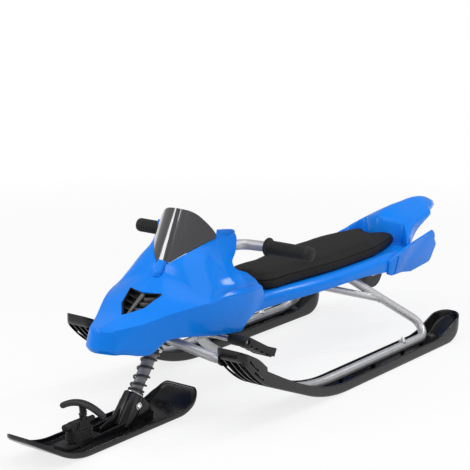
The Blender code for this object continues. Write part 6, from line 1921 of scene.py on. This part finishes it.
def makeReel():
    half, wall, radius = reel["width"] / 2, reel["wall"], reel["radius"]
    axle, flange, hub = reel["axle"], reel["flange"], reel["hub"]
    bore, inner, seam = axle + gap, half - wall - 2 * gap, half - wall - gap
    matrix = Matrix.Translation((0.0, along(reel["station"]), reel["height"]))
    matrix = matrix @ Matrix.Rotation(math.pi / 2, 4, "Y")
    case = [
        (bore, -half + 0.0012), (0.012, -half + 0.0012), (0.0135, -half), (radius - 0.006, -half),
        (radius - 0.0045, -half + 0.0008), (radius - 0.0030, -half), (radius, -half), (radius, seam),
        (radius - wall, seam), (radius - wall, -half + wall), (bore, -half + wall),
    ]
    cover = [
        (bore, half - wall), (radius, half - wall), (radius, half), (radius - 0.0028, half),
        (radius - 0.0042, half - 0.0009), (radius - 0.0058, half), (0.0135, half),
        (0.012, half - 0.0012), (bore, half - 0.0012),
    ]
    drum = [
        (bore, -inner + gap), (flange, -inner + gap), (flange, -inner + 0.003), (hub, -inner + 0.003),
        (hub, inner - 0.003), (flange, inner - 0.003), (flange, inner), (bore, inner),
    ]
    rod = [(0.0, -half - 0.008), (axle, -half - 0.008), (axle, half + 0.008), (0.0, half + 0.008)]
    for name, node, finish, body, soft, profile in (
        ("reelCase", "reel_case", reelGrey, "frame", 0.0016, case),
        ("reelCover", "reel_cover", reelGrey, "frame", 0.0007, cover),
        ("reelDrum", "reel_drum", grainBlack, "reel_drum", 0.0006, drum),
        ("reelAxle", "reel_axle", zinc, "frame", 0.0008, rod),
    ):
        shape = softProfile(profile, soft)
        turnedPiece(name, shape, matrix, finish, body, (node,), segments=96, angle=35.0)


makeBrake()
makeReel()
for node, name, finish in (
    ("reel_bracket", "reelBracket", silver), ("saddle_plate", "saddlePlate", silver),
    ("front_seat_plate", "frontSeatPlate", silver), ("cowl_bracket", "cowlBracket", grainBlack),
):
    polishNode(node, name, finish, "frame", 0.0008)
print("brake and reel made")


# Camera, floor and light

view = {
    "azimuth": 37.3156, "elevation": 13.1283, "distance": 3.3106, "target": (0.0, -0.089, 0.3277),
    "lens": 118.2, "floor": 0.80, "fill": 0.40, "lookAt": (0.0, 0.0, 0.15),
    "lamps": (  # place, size, watts
        ((0.5, -0.6, 2.3), 2.4, 27.0),  # above
        ((2.3, 0.3, 1.2), 1.8, 13.0),  # to the right of the view
        ((0.9, 1.5, 2.0), 0.55, 16.0),  # behind
        ((-1.25, -1.75, 1.35), 1.2, 24.0),  # ahead on the far side
    ),
}


def makeCamera():
    azimuth, elevation = math.radians(view["azimuth"]), math.radians(view["elevation"])
    level = math.cos(elevation)
    back = Vector((math.sin(azimuth) * level, -math.cos(azimuth) * level, math.sin(elevation)))
    lens = bpy.data.cameras.new("photo view")
    lens.lens, lens.sensor_width = view["lens"], 36.0
    camera = bpy.data.objects.new("photoView", lens)
    camera.location = Vector(view["target"]) + back * view["distance"]
    camera.rotation_euler = (-back).to_track_quat("-Z", "Y").to_euler()
    scene.collection.objects.link(camera)
    scene.camera = camera


def makeFloor():
    bm = bmesh.new()
    below = Matrix.Translation((0.0, 0.0, -0.0004))
    bmesh.ops.create_grid(bm, x_segments=8, y_segments=8, size=40.0, matrix=below)
    mesh = bpy.data.meshes.new("floor")
    bm.to_mesh(mesh)
    bm.free()
    finish = Finish("pale floor", Roughness=0.85, Specular_IOR_Level=0.1)
    finish.paint(finish.grain(3.0), grey(0.80), grey(0.84))
    rayKinds = ("Is Camera Ray", "Is Glossy Ray", "Is Transmission Ray")
    seen, glossy, through = (finish.node("LightPath", output=ray) for ray in rayKinds)
    rays = finish.node("Math", {"operation": "ADD", "use_clamp": True}, {0: seen + glossy, 1: through})
    away = finish.node("VectorMath", {"operation": "LENGTH"}, {0: finish.place}, "Value").clamp(0.8, 2.4)
    # The floor fades to plain white away from the sled.
    share = rays * (view["floor"] + away * (1.0 - view["floor"]))
    glow = finish.node("Emission", {}, {"Color": grey(1.0), "Strength": 1.0})
    mixed = finish.node("MixShader", {}, {0: share, 1: Flow(finish, finish.shader.outputs[0]), 2: glow})
    finish.tree.links.new(mixed.socket, finish.tree.nodes["Material Output"].inputs["Surface"])
    mesh.materials.append(finish.material)
    floor = bpy.data.objects.new("floor", mesh)
    scene.collection.objects.link(floor)


def makeLight():
    world = bpy.data.worlds.new("studio")
    world.use_nodes = True
    scene.world = world
    tree = world.node_tree
    path = tree.nodes.new("ShaderNodeLightPath")
    most = tree.nodes.new("ShaderNodeMath")
    most.operation = "MAXIMUM"
    tree.links.new(path.outputs["Is Camera Ray"], most.inputs[0])
    tree.links.new(path.outputs["Is Transmission Ray"], most.inputs[1])
    level = tree.nodes.new("ShaderNodeMapRange")
    level.inputs[3].default_value, level.inputs[4].default_value = view["fill"], 1.0
    tree.links.new(most.outputs[0], level.inputs[0])
    ground = tree.nodes["Background"]
    ground.inputs["Color"].default_value = grey(1.0)
    tree.links.new(level.outputs[0], ground.inputs["Strength"])
    for number, (place, size, watts) in enumerate(view["lamps"]):
        lamp = bpy.data.lights.new("soft lamp %d" % number, "AREA")
        lamp.size, lamp.energy = size, watts
        holder = bpy.data.objects.new("softLamp%d" % number, lamp)
        holder.location = place
        aim = Vector(view["lookAt"]) - Vector(place)
        holder.rotation_euler = aim.to_track_quat("-Z", "Y").to_euler()
        scene.collection.objects.link(holder)


makeCamera()
makeFloor()
makeLight()
scene.view_settings.view_transform = "Standard"
print("stage made")
